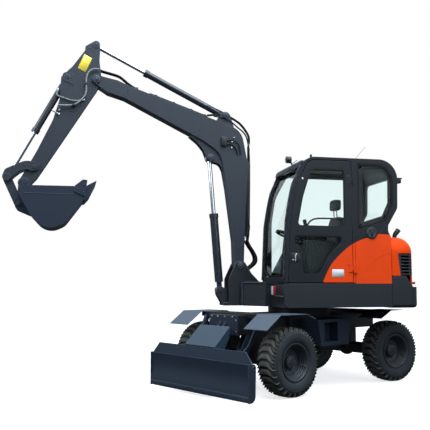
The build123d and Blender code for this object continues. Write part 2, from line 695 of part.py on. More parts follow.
DOOR_SIDE = [
    (458, CAB_FLOOR + 2, 20),
    (424, 2150, 1500),
    (345, 2580, 700),
    (170, 2955, 150),
    (DOOR_REAR, 2955, 30),
    (DOOR_REAR, CAB_FLOOR + 2, 20),
]

UPPER_WINDOW = [(344, 2086, 55), (264, 2480, 900), (146, 2836, 70), (-325, 2836, 45), (-322, 2078, 45)]
LOWER_WINDOW = [
    (375, 1968, 30), (375, 1878, 45), (274, 1790, 60), (272, 1472, 55),
    (42, 1472, 50), (-95, 1710, 400), (-272, 1888, 35), (-276, 1966, 35),
]
QUARTER_WINDOW = [
    (-500, 2052, 25), (-500, 2935, 25), (-900, 2935, 170),
    (-1020, 2760, 120), (-1012, 2400, 120), (-905, 2180, 40),
]
RIGHT_WINDOW = [
    (395, 1480, 40), (390, 2200, 600), (330, 2560, 400), (150, 2880, 80), (-900, 2880, 150),
    (-980, 2700, 100), (-980, 2400, 100), (-860, 2120, 60), (-390, 2100, 60), (-390, 1480, 60),
]
SIDE_PANEL_FRONT = CAB_STEP_REAR - PANEL_GAP - 1
SIDE_PANEL = [
    (SIDE_PANEL_FRONT, SKIRT_TOP, 0), (SIDE_PANEL_FRONT, 1950, 0), (-650, 1950, 200),
    (-775, 1985, 120), (-935, 2180, 0), (-925, 2040, 100), (HOUSE_REAR, 1975, 0), (HOUSE_REAR, SKIRT_TOP, 0),
]


def across_window(inset, low, high):
    """Rounded window outline across the cab, as rows of (y, z, corner radius)."""
    left, right = HOUSE_SIDE - inset, CAB_RIGHT + inset
    return outline([(right, low, 50), (left, low, 50), (left, high, 60), (right, high, 60)])


WINDSCREEN_FACE = across_window(62, CAB_FLOOR + 72, CAB_ROOF - 118)
REAR_FACE = across_window(90, CAB_ROOF - 798, CAB_ROOF - 238)


def cab_solid():
    """The cab's outer form, without its room."""
    return side_slab(CAB_SIDE, CAB_RIGHT, HOUSE_SIDE)


def door_lugs():
    """Hinge leaves with lugs and pins on the cab, at both heights."""
    x, y = DOOR_AXIS
    lugs = None
    for low in DOOR_HINGES:
        high = low + DOOR_HINGE_HEIGHT
        leaf = block(x - 52, x - 16, HOUSE_SIDE + 2, HOUSE_SIDE + 8, low, high)
        leaf += block(x - 21, x - 16, HOUSE_SIDE - 1, HOUSE_SIDE + 8, low, high)
        leaf += Pos(x, y, (low + high) / 2) * Cylinder(HINGE_PIN, DOOR_HINGE_HEIGHT - 2)
        for start in (low, high - 34):
            leaf += Pos(x, y, start + 17) * Cylinder(HINGE_RADIUS, 34)
            leaf += block(x - 21, x, HOUSE_SIDE - 1, y + 2, start, start + 34)
        lugs = leaf if lugs is None else lugs + leaf
    return lugs


def door_sleeves():
    """Hinge leaves on the door with the sleeves that turn about the pins."""
    x, y = DOOR_AXIS
    sleeves = None
    for low in DOOR_HINGES:
        start, end = low + 35, low + DOOR_HINGE_HEIGHT - 35
        middle = Pos(x, y, (start + end) / 2)
        sleeve = middle * Cylinder(HINGE_RADIUS, end - start) + block(x, x + 25, y - 10, y - 4, start, end)
        foot, head = low + 14, low + DOOR_HINGE_HEIGHT - 14
        sleeve += block(x + 19, x + 70, HOUSE_SIDE - 1, HOUSE_SIDE + 7, foot, head)
        sleeve -= middle * Cylinder(HINGE_PIN + PIN_CLEARANCE, 100)
        sleeves = sleeve if sleeves is None else sleeves + sleeve
    return sleeves


def cab_shell():
    side = outline(CAB_SIDE)
    room = extrude(Plane.XZ.offset(CAB_WALL - HOUSE_SIDE) * offset(side, -CAB_WALL),
                   HOUSE_SIDE - CAB_RIGHT - 2 * CAB_WALL)
    shell = cab_solid() - room
    door_opening = offset(outline(DOOR_SIDE), DOOR_GAP)
    for face in (door_opening, outline(QUARTER_WINDOW), offset(outline(SIDE_PANEL), PANEL_GAP)):
        shell -= extrude(Plane.XZ.offset(-HOUSE_SIDE - 1) * face, CAB_WALL + 2)
    shell -= side_slab(RIGHT_WINDOW, CAB_RIGHT - 1, CAB_RIGHT + CAB_WALL + 1)
    shell -= extrude(Plane.YZ.offset(150) * WINDSCREEN_FACE, 500)
    shell -= extrude(Plane.YZ.offset(-1200) * REAR_FACE, 300)
    return shell + door_lugs() + hood_lugs(HOOD_HINGES[1], -929, HOOD_AXIS[1] - 20)


def side_pane(window, outer):
    """Pane in a side window, its outer face at y = outer."""
    return extrude(Plane.XZ.offset(-outer) * offset(outline(window), -GLASS_GAP), GLASS)


def cab_glass():
    """Fixed panes: windscreen, rear, left quarter and right side."""
    side = outline(CAB_SIDE)
    band = offset(side, -GLASS_DEPTH) - offset(side, -GLASS_DEPTH - GLASS)
    around = extrude(Plane.XZ.offset(-HOUSE_SIDE) * band, HOUSE_SIDE - CAB_RIGHT)
    panes = around & extrude(Plane.YZ.offset(150) * offset(WINDSCREEN_FACE, -GLASS_GAP), 500)
    panes += around & extrude(Plane.YZ.offset(-1200) * offset(REAR_FACE, -GLASS_GAP), 300)
    panes += side_pane(QUARTER_WINDOW, HOUSE_SIDE - GLASS_DEPTH)
    return panes + side_pane(RIGHT_WINDOW, CAB_RIGHT + GLASS_DEPTH + GLASS)


def cab_door():
    door = side_slab(DOOR_SIDE, HOUSE_SIDE - DOOR_THICKNESS, HOUSE_SIDE)
    for window in (UPPER_WINDOW, LOWER_WINDOW):
        door -= side_slab(window, HOUSE_SIDE - DOOR_THICKNESS - 1, HOUSE_SIDE + 1)
    return door + door_sleeves()


def door_glass():
    outer = HOUSE_SIDE - GLASS_DEPTH
    return side_pane(UPPER_WINDOW, outer) + side_pane(LOWER_WINDOW, outer)


def seat():
    """Seat on its pedestal, with back and headrest."""
    middle = (HOUSE_SIDE + CAB_RIGHT) / 2
    floor = CAB_FLOOR + CAB_WALL
    cushion = [(-330, 251, 20), (160, 262, 40), (150, 390, 50), (-330, 350, 20)]
    back = [(-350, 330, 30), (-205, 351, 30), (-330, 900, 60), (-440, 880, 40), (-400, 560, 0)]
    head = [(-430, 930, 30), (-330, 945, 30), (-350, 1110, 30), (-440, 1100, 30)]
    body = block(-330, 60, middle - 190, middle + 190, floor, floor + 270)
    body += block(-405, -375, middle - 60, middle + 60, floor + 860, floor + 960)
    # Side outline from the floor, half width
    for rows, half in ((cushion, 240), (back, 225), (head, 130)):
        body += side_slab(offsets((0, floor), rows), middle - half, middle + half)
    return body


def console():
    """Steering column and wheel, pedals and the two lever consoles."""
    middle = (HOUSE_SIDE + CAB_RIGHT) / 2
    floor = CAB_FLOOR + CAB_WALL
    column = [(300, floor, 0), (400, floor, 0), (335, floor + 560, 15), (270, floor + 560, 15)]
    body = block(100, 402, middle - 300, middle + 300, floor, floor + 12)
    body += side_slab(column, middle - 55, middle + 55)
    hub = Pos(288, middle, floor + 590) * Rot(0, -22, 0)
    body += hub * (Cylinder(178, 26) - Cylinder(153, 27))
    body += hub * Box(320, 30, 16) + hub * Box(30, 320, 16)
    body += hub * Pos(0, 0, -40) * Cylinder(30, 96)
    for side in (-1, 1):
        pod = [(-260, floor, 0), (150, floor, 0), (190, floor + 520, 60), (-260, floor + 470, 40)]
        centre = middle + side * 330
        stick = Pos(140, centre, floor + 600) * Rot(0, 12, 0)
        body += side_slab(pod, centre - 55, centre + 55) + stick * Cylinder(12, 240)
        body += stick * Pos(0, 0, 140) * Cylinder(24, 90)
        pedal = middle + side * 105
        body += block(120, 260, pedal - 45, pedal + 45, floor, floor + 40)
    return body


def engine_block():
    return block(-1300, -700, -330, 330, COUNTERWEIGHT_FLOOR, 1700)


def side_panel():
    """Left engine-side panel below the cab's rear quarter."""
    return side_slab(SIDE_PANEL, HOUSE_SIDE - CAB_WALL + 4, HOUSE_SIDE)


def right_house():
    """Tanks and pump housing on the right side, with the cover behind the boom."""
    deck = DECK_BOTTOM + DECK_THICKNESS
    side = [(150, deck, 0), (170, 1400, 60), (-120, 1930, 180), (HOUSE_REAR, 1968, 0), (HOUSE_REAR, deck, 0)]
    body = side_slab(side, -HOUSE_SIDE + SKIRT_THICKNESS, -430)
    cover = [(-400, 1720, 0), (-400, 1962, 30), (HOUSE_REAR, 1968, 0), (HOUSE_REAR, 1720, 0)]
    body += side_slab(cover, -431, CAB_RIGHT - 8)
    return body + hood_lugs(HOOD_HINGES[0], -935, 1960)


def work_lamps():
    """Round lamp on a post above the windscreen, and a beacon's socket on the roof."""
    x, y, z = LAMP_CENTRE
    lamp = Pos(x, y, z) * Rot(0, 90, 0) * Cylinder(LAMP_RADIUS, LAMP_LENGTH)
    lamp += bar((x - 85, z - 105), (x - 12, z - 15), LAMP_POST_RADIUS, y)
    socket = Pos(BEACON_PLACE[0], BEACON_PLACE[1], CAB_ROOF + 10) * Cylinder(15, 60)
    return lamp - cab_solid() + (socket - cab_solid())


BOOM_SIDE = [
    (BOOM_FOOT[0] - 62, BOOM_FOOT[1] - 30, 40),
    (751, 2222, 1500),
    (706, 3060, 600),
    (800, 3540, 240),
    (1180, 3672, 500),
    (2404, 4092, 0),
    (2570, 4160, 120),
    (ARM_PIN[0] + 10, ARM_PIN[1] + 66, 60),
    (ARM_PIN[0] + 66, ARM_PIN[1] - 30, 60),
    (2700, 3985, 60),
    (2470, 3918, 200),
    (1360, 3370, 400),
    (1100, 3200, 300),
    (1010, 2700, 900),
    (912, 1950, 600),
    (BOOM_FOOT[0] + 66, BOOM_FOOT[1] - 20, 40),
]


def boom():
    """Box boom with foot boss, belly lugs, back lugs and the fork for the arm."""
    body = side_slab(BOOM_SIDE, BOOM_PLANE - BOOM_HALF, BOOM_PLANE + BOOM_HALF)
    body += pin_across(BOOM_FOOT, 66, BRACKET_INNER - 0.4)
    body -= pin_across(BOOM_FOOT, 34 + PIN_CLEARANCE, 400)
    belly = [
        (-220, -330, 0), (-190, -190, 200), (-140, -84, 100), (-20, -62, 40), (50, -10, 60),
        (95, 104, 100), (182, 208, 300), (300, 300, 0), (100, 320, 0), (-200, 60, 0),
    ]
    body += plate_pair(offsets(BOOM_RAM_EYE, belly), LUG_INNER, LUG_OUTER)
    body += pin_across(BOOM_RAM_EYE, 44, BOOM_HALF + 6) - pin_across(BOOM_RAM_EYE, 60, LUG_INNER)
    back = [(-120, -160, 0), (-62, 20, 50), (0, 66, 50), (62, 30, 50), (150, -110, 0)]
    body += plate_pair(offsets(ARM_RAM_BASE, back), LUG_INNER, LUG_OUTER)
    body += pin_across(ARM_RAM_BASE, 28, LUG_OUTER + 12)
    slot = offsets(ARM_PIN, [(-240, -300, 0), (-310, 300, 0), (200, 300, 0), (200, -300, 0)])
    body -= side_slab(slot, BOOM_PLANE - FORK_INNER, BOOM_PLANE + FORK_INNER)
    body += pin_across(ARM_PIN, 52, BOOM_HALF + 18) - pin_across(ARM_PIN, 52, FORK_INNER)
    return body + pin_across(ARM_PIN, 30, BOOM_HALF + 26)


ARM_SIDE = [
    (ARM_RAM_EYE[0] + 4, ARM_RAM_EYE[1] + 62, 60),
    (3016, 4622, 12),
    (3022, 4560, 60),
    (3185, 4322, 200),
    (3244, 4262, 40),
    (3335, 4165, 40),
    (3348, 3850, 300),
    (3430, 3560, 400),
    (3628, 3128, 200),
    (3700, 2990, 60),
    (BUCKET_PIN[0] + 70, BUCKET_PIN[1] + 10, 60),
    (BUCKET_PIN[0] - 40, BUCKET_PIN[1] - 72, 60),
    (3620, 2760, 120),
    (3048, 3691, 300),
    (2835, 4040, 200),
    (2786, 4160, 60),
    (2822, 4420, 200),
    (ARM_RAM_EYE[0] - 58, ARM_RAM_EYE[1] - 20, 50),
]


def arm():
    """Arm with its ram fork, back lugs and the bosses of the bucket linkage."""
    body = side_slab(ARM_SIDE, BOOM_PLANE - ARM_HALF, BOOM_PLANE + ARM_HALF)
    body += pin_across(ARM_PIN, 74, FORK_INNER - 0.4)
    body -= pin_across(ARM_PIN, 30 + PIN_CLEARANCE, 400)
    eye_slot = offsets(ARM_RAM_EYE, [(-160, -80, 0), (180, -80, 30), (180, 120, 0), (-160, 120, 0)])
    body -= side_slab(eye_slot, BOOM_PLANE - LUG_INNER, BOOM_PLANE + LUG_INNER)
    boss = offsets(ARM_RAM_EYE, [(-50, -50, 40), (-50, 50, 50), (50, 50, 50), (50, -50, 40)])
    body += plate_pair(boss, LUG_INNER, ARM_HALF + 8)
    base_slot = offsets(BUCKET_RAM_BASE, [(-68, -380, 40), (-68, 70, 50), (100, 120, 0), (200, -380, 0)])
    body -= side_slab(base_slot, BOOM_PLANE - LUG_INNER - 20, BOOM_PLANE + LUG_INNER + 20)
    ears = [(-90, -120, 0), (-90, 40, 40), (-20, 70, 50), (66, 40, 50), (60, -60, 50)]
    body += plate_pair(offsets(BUCKET_RAM_BASE, ears), LUG_INNER, ARM_HALF + 6)
    body += pin_across(BUCKET_RAM_BASE, 26, ARM_HALF + 16)
    body += pin_across(ROCKER_PIN, 27, ROCKER_OUTER + 10)
    body += pin_across(ROCKER_PIN, 56, ROCKER_INNER - 0.4)
    body += pin_across(BUCKET_PIN, 74, ROCKER_INNER - 0.4)
    return body - pin_across(BUCKET_PIN, 28 + PIN_CLEARANCE, 400)


def rocker():
    """Curved rocker plates on both sides of the arm, each with a boss for the link pin."""
    top = offsets(ROCKER_PIN, [(-62, -30, 50), (-55, 60, 50), (120, 80, 200)])
    end = offsets(LINK_PIN, [(25, 110, 80), (68, -10, 55), (-10, -68, 55), (-78, 20, 60)])
    under = offsets(ROCKER_PIN, [(140, -22, 150), (20, -62, 50)])
    plates = plate_pair(top + end + under, ROCKER_INNER, ROCKER_OUTER)
    plates -= pin_across(ROCKER_PIN, 27 + PIN_CLEARANCE, 300)
    tube = pin_across(LINK_PIN, 50, ROCKER_OUTER + 12) - pin_across(LINK_PIN, 50, LINK_OUTER + PIN_CLEARANCE)
    return plates + tube


def link():
    """Straight link plates from the rocker's pin to the bucket, joined low by a web."""
    strap = offsets(LINK_PIN, [(-50, 30, 40), (20, 52, 40), (52, -20, 40)])
    strap += offsets(BUCKET_LINK_PIN, [(50, -20, 40), (-10, -52, 40), (-50, 20, 40)])
    plates = plate_pair(strap, LINK_INNER, LINK_OUTER)
    web = toward(BUCKET_LINK_PIN, LINK_PIN, math.dist(LINK_PIN, BUCKET_LINK_PIN) / 3)
    plates += pin_across(web, 26, LINK_INNER + 1)
    plates += pin_across(BUCKET_LINK_PIN, 48, ROCKER_INNER - PIN_CLEARANCE)
    return plates + pin_across(BUCKET_LINK_PIN, 26, ROCKER_OUTER + 18)


BUCKET_HALF = 300
ARM_NOSE_ROOM = 104
BUCKET_SHEET = 16
BUCKET_SHELL = [
    (3807, 2629, 0), (3820, 2500, 60), (3690, 2262, 200), (3475, 2030, 230), (3240, 2140, 200),
    (3000, 2470, 0), (3050, 2635, 0),
]
BUCKET_EAR_FOOT = [(3560, 2200, 0), (3560, 2290, 0), (3740, 2420, 0), (3700, 2560, 0)]
BUCKET_TOOTH = [(3060, 2520, 0), (3000, 2440, 20), (2930, 2520, 80), (2838, 2716, 0), (2960, 2650, 60)]
BUCKET_TEETH = 5
TOOTH_PITCH = 134
SIDE_CUTTER = [(3130, 2560, 10), (2985, 2500, 0), (2960, 2718, 10), (3020, 2722, 10), (3120, 2640, 10)]


def bucket():
    """Bucket with its teeth, side cutters and hanger ears; it opens upwards at rest."""
    body = side_slab(BUCKET_SHELL, BOOM_PLANE - BUCKET_HALF, BOOM_PLANE + BUCKET_HALF)
    room = offset(outline(BUCKET_SHELL), -BUCKET_SHEET)
    mouth = outline([(3100, 2560, 0), (3700, 2560, 0), (3700, 2700, 0), (3100, 2700, 0)])
    inside = BUCKET_HALF - BUCKET_SHEET
    body -= extrude(Plane.XZ.offset(-(BOOM_PLANE + inside)) * (room + mouth), 2 * inside)
    ear = offsets(BUCKET_PIN, [(-76, -40, 60), (-40, 66, 60), (62, 40, 60)])
    ear += [(3860, 2530, 40)] + offsets(BUCKET_LINK_PIN, [(62, 20, 55), (30, -72, 60)])
    ears = plate_pair(ear + BUCKET_EAR_FOOT, ROCKER_INNER, ROCKER_OUTER)
    body += ears - extrude(Plane.XZ.offset(-(BOOM_PLANE + 200)) * room, 400)
    body -= pin_across(BUCKET_PIN, ARM_NOSE_ROOM, ROCKER_INNER)
    body -= pin_across(BUCKET_LINK_PIN, 26 + PIN_CLEARANCE, 300)
    body += pin_across(BUCKET_PIN, 28, ROCKER_OUTER + 12)
    for side in (-1, 1):
        y = BOOM_PLANE + side * (BUCKET_HALF + 8)
        body += side_slab(SIDE_CUTTER, y - 9, y + 9)
    for row in range(BUCKET_TEETH):
        y = BOOM_PLANE + (row - (BUCKET_TEETH - 1) / 2) * TOOTH_PITCH
        body += side_slab(BUCKET_TOOTH, y - 30, y + 30)
    return body


RAMS = [
    # name, base, eye, barrel radius, rod radius, barrel length, neck, rod start, eye radius, base pin radius
    ("boom_ram", BOOM_RAM_BASE, BOOM_RAM_EYE, 58, 30, 1085, 120, 760, 56, 30),
    ("arm_ram", ARM_RAM_BASE, ARM_RAM_EYE, 46, 26, 1300, 105, 900, 50, 28),
    ("bucket_ram", BUCKET_RAM_BASE, LINK_PIN, 46, 26, 890, 125, 700, 50, 26),
]

save("chassis_frame", chassis_frame())
save("slew_ring", Pos(0, 0, (BEAM_TOP + SLEW_RING_TOP) / 2) * (
    Cylinder(SLEW_RING_RADIUS, SLEW_RING_TOP - BEAM_TOP) - Cylinder(SLEW_RING_BORE, SLEW_RING_TOP)))
save("front_axle", front_axle())
save("rear_axle", rear_axle())
save("drive_line", drive_line())
save("side_boxes", both_sides(side_box()))
save("front_fenders", both_sides(fender(FENDER_FRONT_ROUTE)))
save("rear_fenders", both_sides(fender(FENDER_REAR_ROUTE)))
save("blade_bracket", blade_bracket())
save("blade_board", blade_board())
save("blade_arms", blade_arms())
save("blade_cover", blade_cover())
save("blade_ram_barrel", ram_barrel(BLADE_RAM_BASE, BLADE_RAM_EYE, BLADE_RAM_BARREL, BLADE_RAM_ROD,
                                    BLADE_RAM_BARREL_LENGTH, 60, 0, 36, BLADE_RAM_PIN))
save("blade_ram_rod", ram_rod(BLADE_RAM_BASE, BLADE_RAM_EYE, BLADE_RAM_ROD, BLADE_RAM_ROD_START, 0, 32))
save("knuckle_left", knuckle(), about_kingpin(1))
save("knuckle_right", mirror(knuckle(), about=Plane.XZ), about_kingpin(-1))

WHEELS = [
    # name, x, side
    ("front_left", FRONT_X, 1),
    ("front_right", FRONT_X, -1),
    ("rear_left", REAR_X, 1),
    ("rear_right", REAR_X, -1),
]
lugged_tyre = tyre()
for name, x, side in WHEELS:
    hub = Pos(x, side * HALF_TRACK, AXLE_HEIGHT)
    if x < 0:
        hub = about_kingpin(side) * hub
    save("tyre_" + name, lugged_tyre, hub)
    save("rim_" + name, rim(), hub * Rot(0, 0, 0 if side > 0 else 180))

save("upper_frame", upper_frame(), UPPER)
save("side_skirts", both_sides(skirt()), UPPER)
save("counterweight", counterweight(), UPPER)
save("engine_hood", engine_hood(), UPPER)
save("hood_grilles", grille(), UPPER)
save("engine_block", engine_block(), UPPER)
save("side_panel_left", side_panel(), UPPER)
save("right_house", right_house(), UPPER)
save("cab_shell", cab_shell(), UPPER)
save("cab_glass", cab_glass(), UPPER)
save("seat", seat(), UPPER)
save("console", console(), UPPER)
save("work_lamps", work_lamps(), UPPER)
save("cab_door", cab_door(), UPPER)
save("door_glass", door_glass(), UPPER)
save("boom", boom(), UPPER)
save("arm", arm(), UPPER)
save("rocker", rocker(), UPPER)
save("link", link(), UPPER)
save("bucket", bucket(), UPPER)
for name, base, eye, barrel, rod, length, neck, start, eye_radius, pin_radius in RAMS:
    save(name + "_barrel",
         ram_barrel(base, eye, barrel, rod, length, neck, BOOM_PLANE, eye_radius, pin_radius), UPPER)
    save(name + "_rod", ram_rod(base, eye, rod, start, BOOM_PLANE, eye_radius), UPPER)
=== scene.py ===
"""Looks of the wheeled excavator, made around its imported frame.

Lengths are metres. The upper structure and its equipment are drawn straight ahead, in the house's
own x, y and z, and are then turned with HOUSE_TURN. The undercarriage is drawn where it stands.
Long outlines are listed in millimetres, and mm() turns them into metres.
"""
import math

import bmesh
import bpy
from mathutils import Matrix, Vector


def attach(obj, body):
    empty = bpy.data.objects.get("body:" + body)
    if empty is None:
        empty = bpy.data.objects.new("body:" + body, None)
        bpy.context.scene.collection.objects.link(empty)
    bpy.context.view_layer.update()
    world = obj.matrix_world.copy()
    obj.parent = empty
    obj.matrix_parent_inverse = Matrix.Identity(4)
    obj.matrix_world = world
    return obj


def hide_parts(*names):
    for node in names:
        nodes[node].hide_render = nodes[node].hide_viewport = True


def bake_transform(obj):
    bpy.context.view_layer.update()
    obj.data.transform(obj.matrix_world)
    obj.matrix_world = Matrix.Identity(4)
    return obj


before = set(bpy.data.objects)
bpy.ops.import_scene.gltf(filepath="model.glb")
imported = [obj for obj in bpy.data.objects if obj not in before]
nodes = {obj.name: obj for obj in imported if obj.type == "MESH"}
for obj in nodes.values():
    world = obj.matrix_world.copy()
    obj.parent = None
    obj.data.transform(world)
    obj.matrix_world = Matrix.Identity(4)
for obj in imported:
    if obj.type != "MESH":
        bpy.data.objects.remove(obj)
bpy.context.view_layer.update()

HOUSE_TURN = Matrix.Rotation(math.radians(-28), 4, "Z")
STANDS = Matrix.Identity(4)
BOOM_Y = -0.19
BOOM_FACE = BOOM_Y + 0.1
ARM_FACE = BOOM_Y + 0.078
UP = Vector((0, 0, 1))
OUT = Vector((0, 1, 0))
AHEAD = Vector((1, 0, 0))
ORIGIN = (0, 0, 0)
# Angles, in radians, above which an edge of a seal or of a lug is rounded
SEAL_EDGE = 0.9
LUG_EDGE = 0.6


# Meshes

def mm(rows):
    """Rows of millimetres in metres."""
    return [tuple(value / 1000 for value in row) for row in rows]


def place_verts(bm, verts, matrix):
    bmesh.ops.transform(bm, matrix=matrix, verts=verts)


def round_edges(bm, verts, width, steps=2, least=30):
    """Bevels the edges between these verts whose faces meet at more than `least` degrees."""
    bm.normal_update()
    chosen = set(verts)
    edges = [
        e for e in bm.edges
        if e.verts[0] in chosen and e.verts[1] in chosen and len(e.link_faces) == 2
        and e.calc_face_angle(0) > math.radians(least)
    ]
    bmesh.ops.bevel(bm, geom=edges, offset=width, segments=steps, profile=0.5, affect="EDGES",
                    material=-1, clamp_overlap=True)


def extrude(bm, faces, by):
    """Extrudes faces by a vector and gives the verts at the far end."""
    made = bmesh.ops.extrude_face_region(bm, geom=faces)["geom"]
    far = [v for v in made if isinstance(v, bmesh.types.BMVert)]
    bmesh.ops.translate(bm, vec=by, verts=far)
    return far


def add_block(bm, low, high, bevel=0.0, turn=None):
    """Block between two corners, laid by a matrix where one is given."""
    low, high = Vector(low), Vector(high)
    verts = bmesh.ops.create_cube(bm, size=1.0)["verts"]
    size = high - low
    place_verts(bm, verts, Matrix.Translation((low + high) / 2) @ Matrix.Diagonal((*size, 1.0)))
    if turn:
        place_verts(bm, verts, turn)
    if bevel:
        round_edges(bm, verts, bevel)


def add_rod(bm, start, end, radius, end_radius=None, sides=24, bevel=0.0):
    """Round bar or cone between two points."""
    start, end = Vector(start), Vector(end)
    along = end - start
    lie = along.to_track_quat("Z", "Y").to_matrix().to_4x4()
    tip = radius if end_radius is None else end_radius
    made = bmesh.ops.create_cone(bm, cap_ends=True, segments=sides, radius1=radius, radius2=tip,
                                 depth=along.length, matrix=Matrix.Translation((start + end) / 2) @ lie)
    if bevel:
        round_edges(bm, made["verts"], bevel, least=50)


def add_plate(bm, corners, low, high, bevel):
    """Plate whose outline (x, z) lies in the side view, from y = low to y = high."""
    verts = [bm.verts.new((x, low, z)) for x, z in corners]
    far = extrude(bm, [bm.faces.new(verts)], (0, high - low, 0))
    round_edges(bm, verts + far, bevel)


def add_spin(bm, profile, centre, axis, steps=96, closed=False):
    """Turns a profile of (distance along the axis, radius) round the axis."""
    axis = Vector(axis).normalized()
    centre = Vector(centre)
    side = axis.orthogonal().normalized()
    verts = [bm.verts.new(centre + axis * a + side * r) for a, r in profile]
    edges = [bm.edges.new(pair) for pair in zip(verts, verts[1:])]
    if closed:
        edges.append(bm.edges.new((verts[-1], verts[0])))
    bmesh.ops.spin(bm, geom=verts + edges, cent=centre, axis=axis, angle=math.tau, steps=steps,
                   use_merge=True, use_duplicate=False)


def add_bolt(bm, point, direction, size, height=None):
    """Hexagon head on its washer."""
    direction = Vector(direction).normalized()
    point = Vector(point)
    height = height or size * 0.55
    add_rod(bm, point - direction * 0.002, point + direction * size * 0.16, size * 0.95, sides=20)
    add_rod(bm, point, point + direction * height, size * 0.72, sides=6, bevel=size * 0.06)


def add_ring(bm, centre, axis, radius, thickness, steps=48, sides=8):
    """Round ring about an axis."""
    profile = []
    for k in range(sides):
        turn = math.tau * k / sides
        profile.append((thickness * math.sin(turn), radius + thickness * math.cos(turn)))
    add_spin(bm, profile, centre, axis, steps, closed=True)


def rounded_face(bm, corners, place):
    """Flat face from rows of (across, up, corner radius), each corner rounded in its own radius."""
    verts = [bm.verts.new((a, b, 0)) for a, b, r in corners]
    bm.faces.new(verts)
    count = len(corners)
    flat = [Vector((a, b)) for a, b, r in corners]
    for k in range(count):
        radius = corners[k][2]
        if not radius:
            continue
        back = (flat[k - 1] - flat[k]).normalized()
        ahead = (flat[(k + 1) % count] - flat[k]).normalized()
        turn = math.pi - back.angle(ahead)
        bmesh.ops.bevel(bm, geom=[verts[k]], offset=radius * math.tan(turn / 2), segments=8, profile=0.5,
                        offset_type="OFFSET", affect="VERTICES", material=-1, clamp_overlap=False)
    place_verts(bm, bm.verts, place)


def seal_strip(corners, place, width, depth):
    """Rubber section round a window opening, from its rounded outline inwards."""
    bm = bmesh.new()
    rounded_face(bm, corners, place)
    rim = set(bmesh.ops.inset_region(bm, faces=bm.faces[:], thickness=width, use_boundary=True,
                                     use_even_offset=True)["faces"])
    bmesh.ops.delete(bm, geom=[f for f in bm.faces if f not in rim], context="FACES")
    top = set(extrude(bm, bm.faces[:], place.to_3x3() @ UP * depth))
    bm.normal_update()
    edges = [e for e in bm.edges if e.is_manifold and e.calc_face_angle(0) > SEAL_EDGE
             and top.issuperset(e.verts)]
    bmesh.ops.bevel(bm, geom=edges, offset=depth * 0.3, segments=2, profile=0.5, affect="EDGES", material=-1)
    return bm


def join(bm, other):
    """Adds another bmesh's shapes to bm."""
    mesh = bpy.data.meshes.new("part")
    other.to_mesh(mesh)
    other.free()
    bm.from_mesh(mesh)
    bpy.data.meshes.remove(mesh)


def piece(name, bm, body, material, place=HOUSE_TURN, sharp=35):
    """Makes the mesh a piece in its place that rides on a body."""
    place_verts(bm, bm.verts, place)
    bmesh.ops.recalc_face_normals(bm, faces=bm.faces)
    mesh = bpy.data.meshes.new(name)
    bm.to_mesh(mesh)
    bm.free()
    mesh.shade_smooth()
    mesh.set_sharp_from_angle(angle=math.radians(sharp))
    made = bpy.data.objects.new(name, mesh)
    bpy.context.scene.collection.objects.link(made)
    for each in material if isinstance(material, (list, tuple)) else [material]:
        mesh.materials.append(each)
    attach(made, body)
    return made


def tube_mesh(name, routes, place=HOUSE_TURN):
    """Mesh of round tubes; each route is (radius, points)."""
    curve = bpy.data.curves.new(name, "CURVE")
    curve.dimensions = "3D"
    curve.bevel_depth = 1.0
    curve.bevel_resolution = 5
    curve.resolution_u = 10
    curve.use_fill_caps = True
    for radius, points in routes:
        spline = curve.splines.new("NURBS")
        spline.points.add(len(points) - 1)
        for at, point in zip(spline.points, points):
            at.co = (*point, 1.0)
            at.radius = radius
        spline.order_u = 3
        spline.use_endpoint_u = True
    holder = bpy.data.objects.new(name, curve)
    bpy.context.scene.collection.objects.link(holder)
    shaped = holder.evaluated_get(bpy.context.evaluated_depsgraph_get())
    mesh = bpy.data.meshes.new_from_object(shaped)
    bpy.data.objects.remove(holder)
    bpy.data.curves.remove(curve)
    mesh.transform(place)
    mesh.shade_smooth()
    mesh.set_sharp_from_angle(angle=math.radians(50))
    return mesh


def tubes(name, routes, bodies, material, across=None):
    """Hoses or pipes that ride on one body; where across is given they stay as drawn and ride on no body, and
    the points in across are not used.
    """
    made = bpy.data.objects.new(name, tube_mesh(name, routes))
    bpy.context.scene.collection.objects.link(made)
    made.data.materials.clear()
    made.data.materials.append(material)
    if across:
        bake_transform(made)
    else:
        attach(made, bodies)


# Finishes

def node(tree, kind, sockets=None, **settings):
    """New shader node; sockets maps an input to a number, a colour or another node's output."""
    made = tree.nodes.new("ShaderNode" + kind)
    for key, value in settings.items():
        setattr(made, key, value)
    for key, value in (sockets or {}).items():
        if isinstance(value, bpy.types.NodeSocket):
            tree.links.new(value, made.inputs[key])
        else:
            made.inputs[key].default_value = value
    return made


def connect(tree, target, **sources):
    """Links other nodes' outputs to a node's inputs, by the inputs' labels."""
    for label, source in sources.items():
        tree.links.new(source, target.inputs[label])


def mix_colours(tree, share, first, second):
    """Second colour over the first, by its share."""
    return node(tree, "Mix", {0: share, 6: first, 7: second}, data_type="RGBA").outputs[2]


def ramp(tree, value, low, high, to_low=0.0, to_high=1.0):
    """Maps low to high onto to_low to to_high, and holds the ends."""
    sockets = {"Value": value, "From Min": low, "From Max": high, "To Min": to_low, "To Max": to_high}
    return node(tree, "MapRange", sockets).outputs[0]


def reckon(tree, operation, *values):
    """Result of a sum on numbers or other nodes' outputs."""
    return node(tree, "Math", dict(enumerate(values)), operation=operation).outputs[0]


def product(tree, first, second):
    return reckon(tree, "MULTIPLY", first, second)


def noise(tree, where, scale, detail=3.0, rough=0.55):
    sockets = {"Vector": where, "Scale": scale, "Detail": detail, "Roughness": rough}
    return node(tree, "TexNoise", sockets).outputs[0]


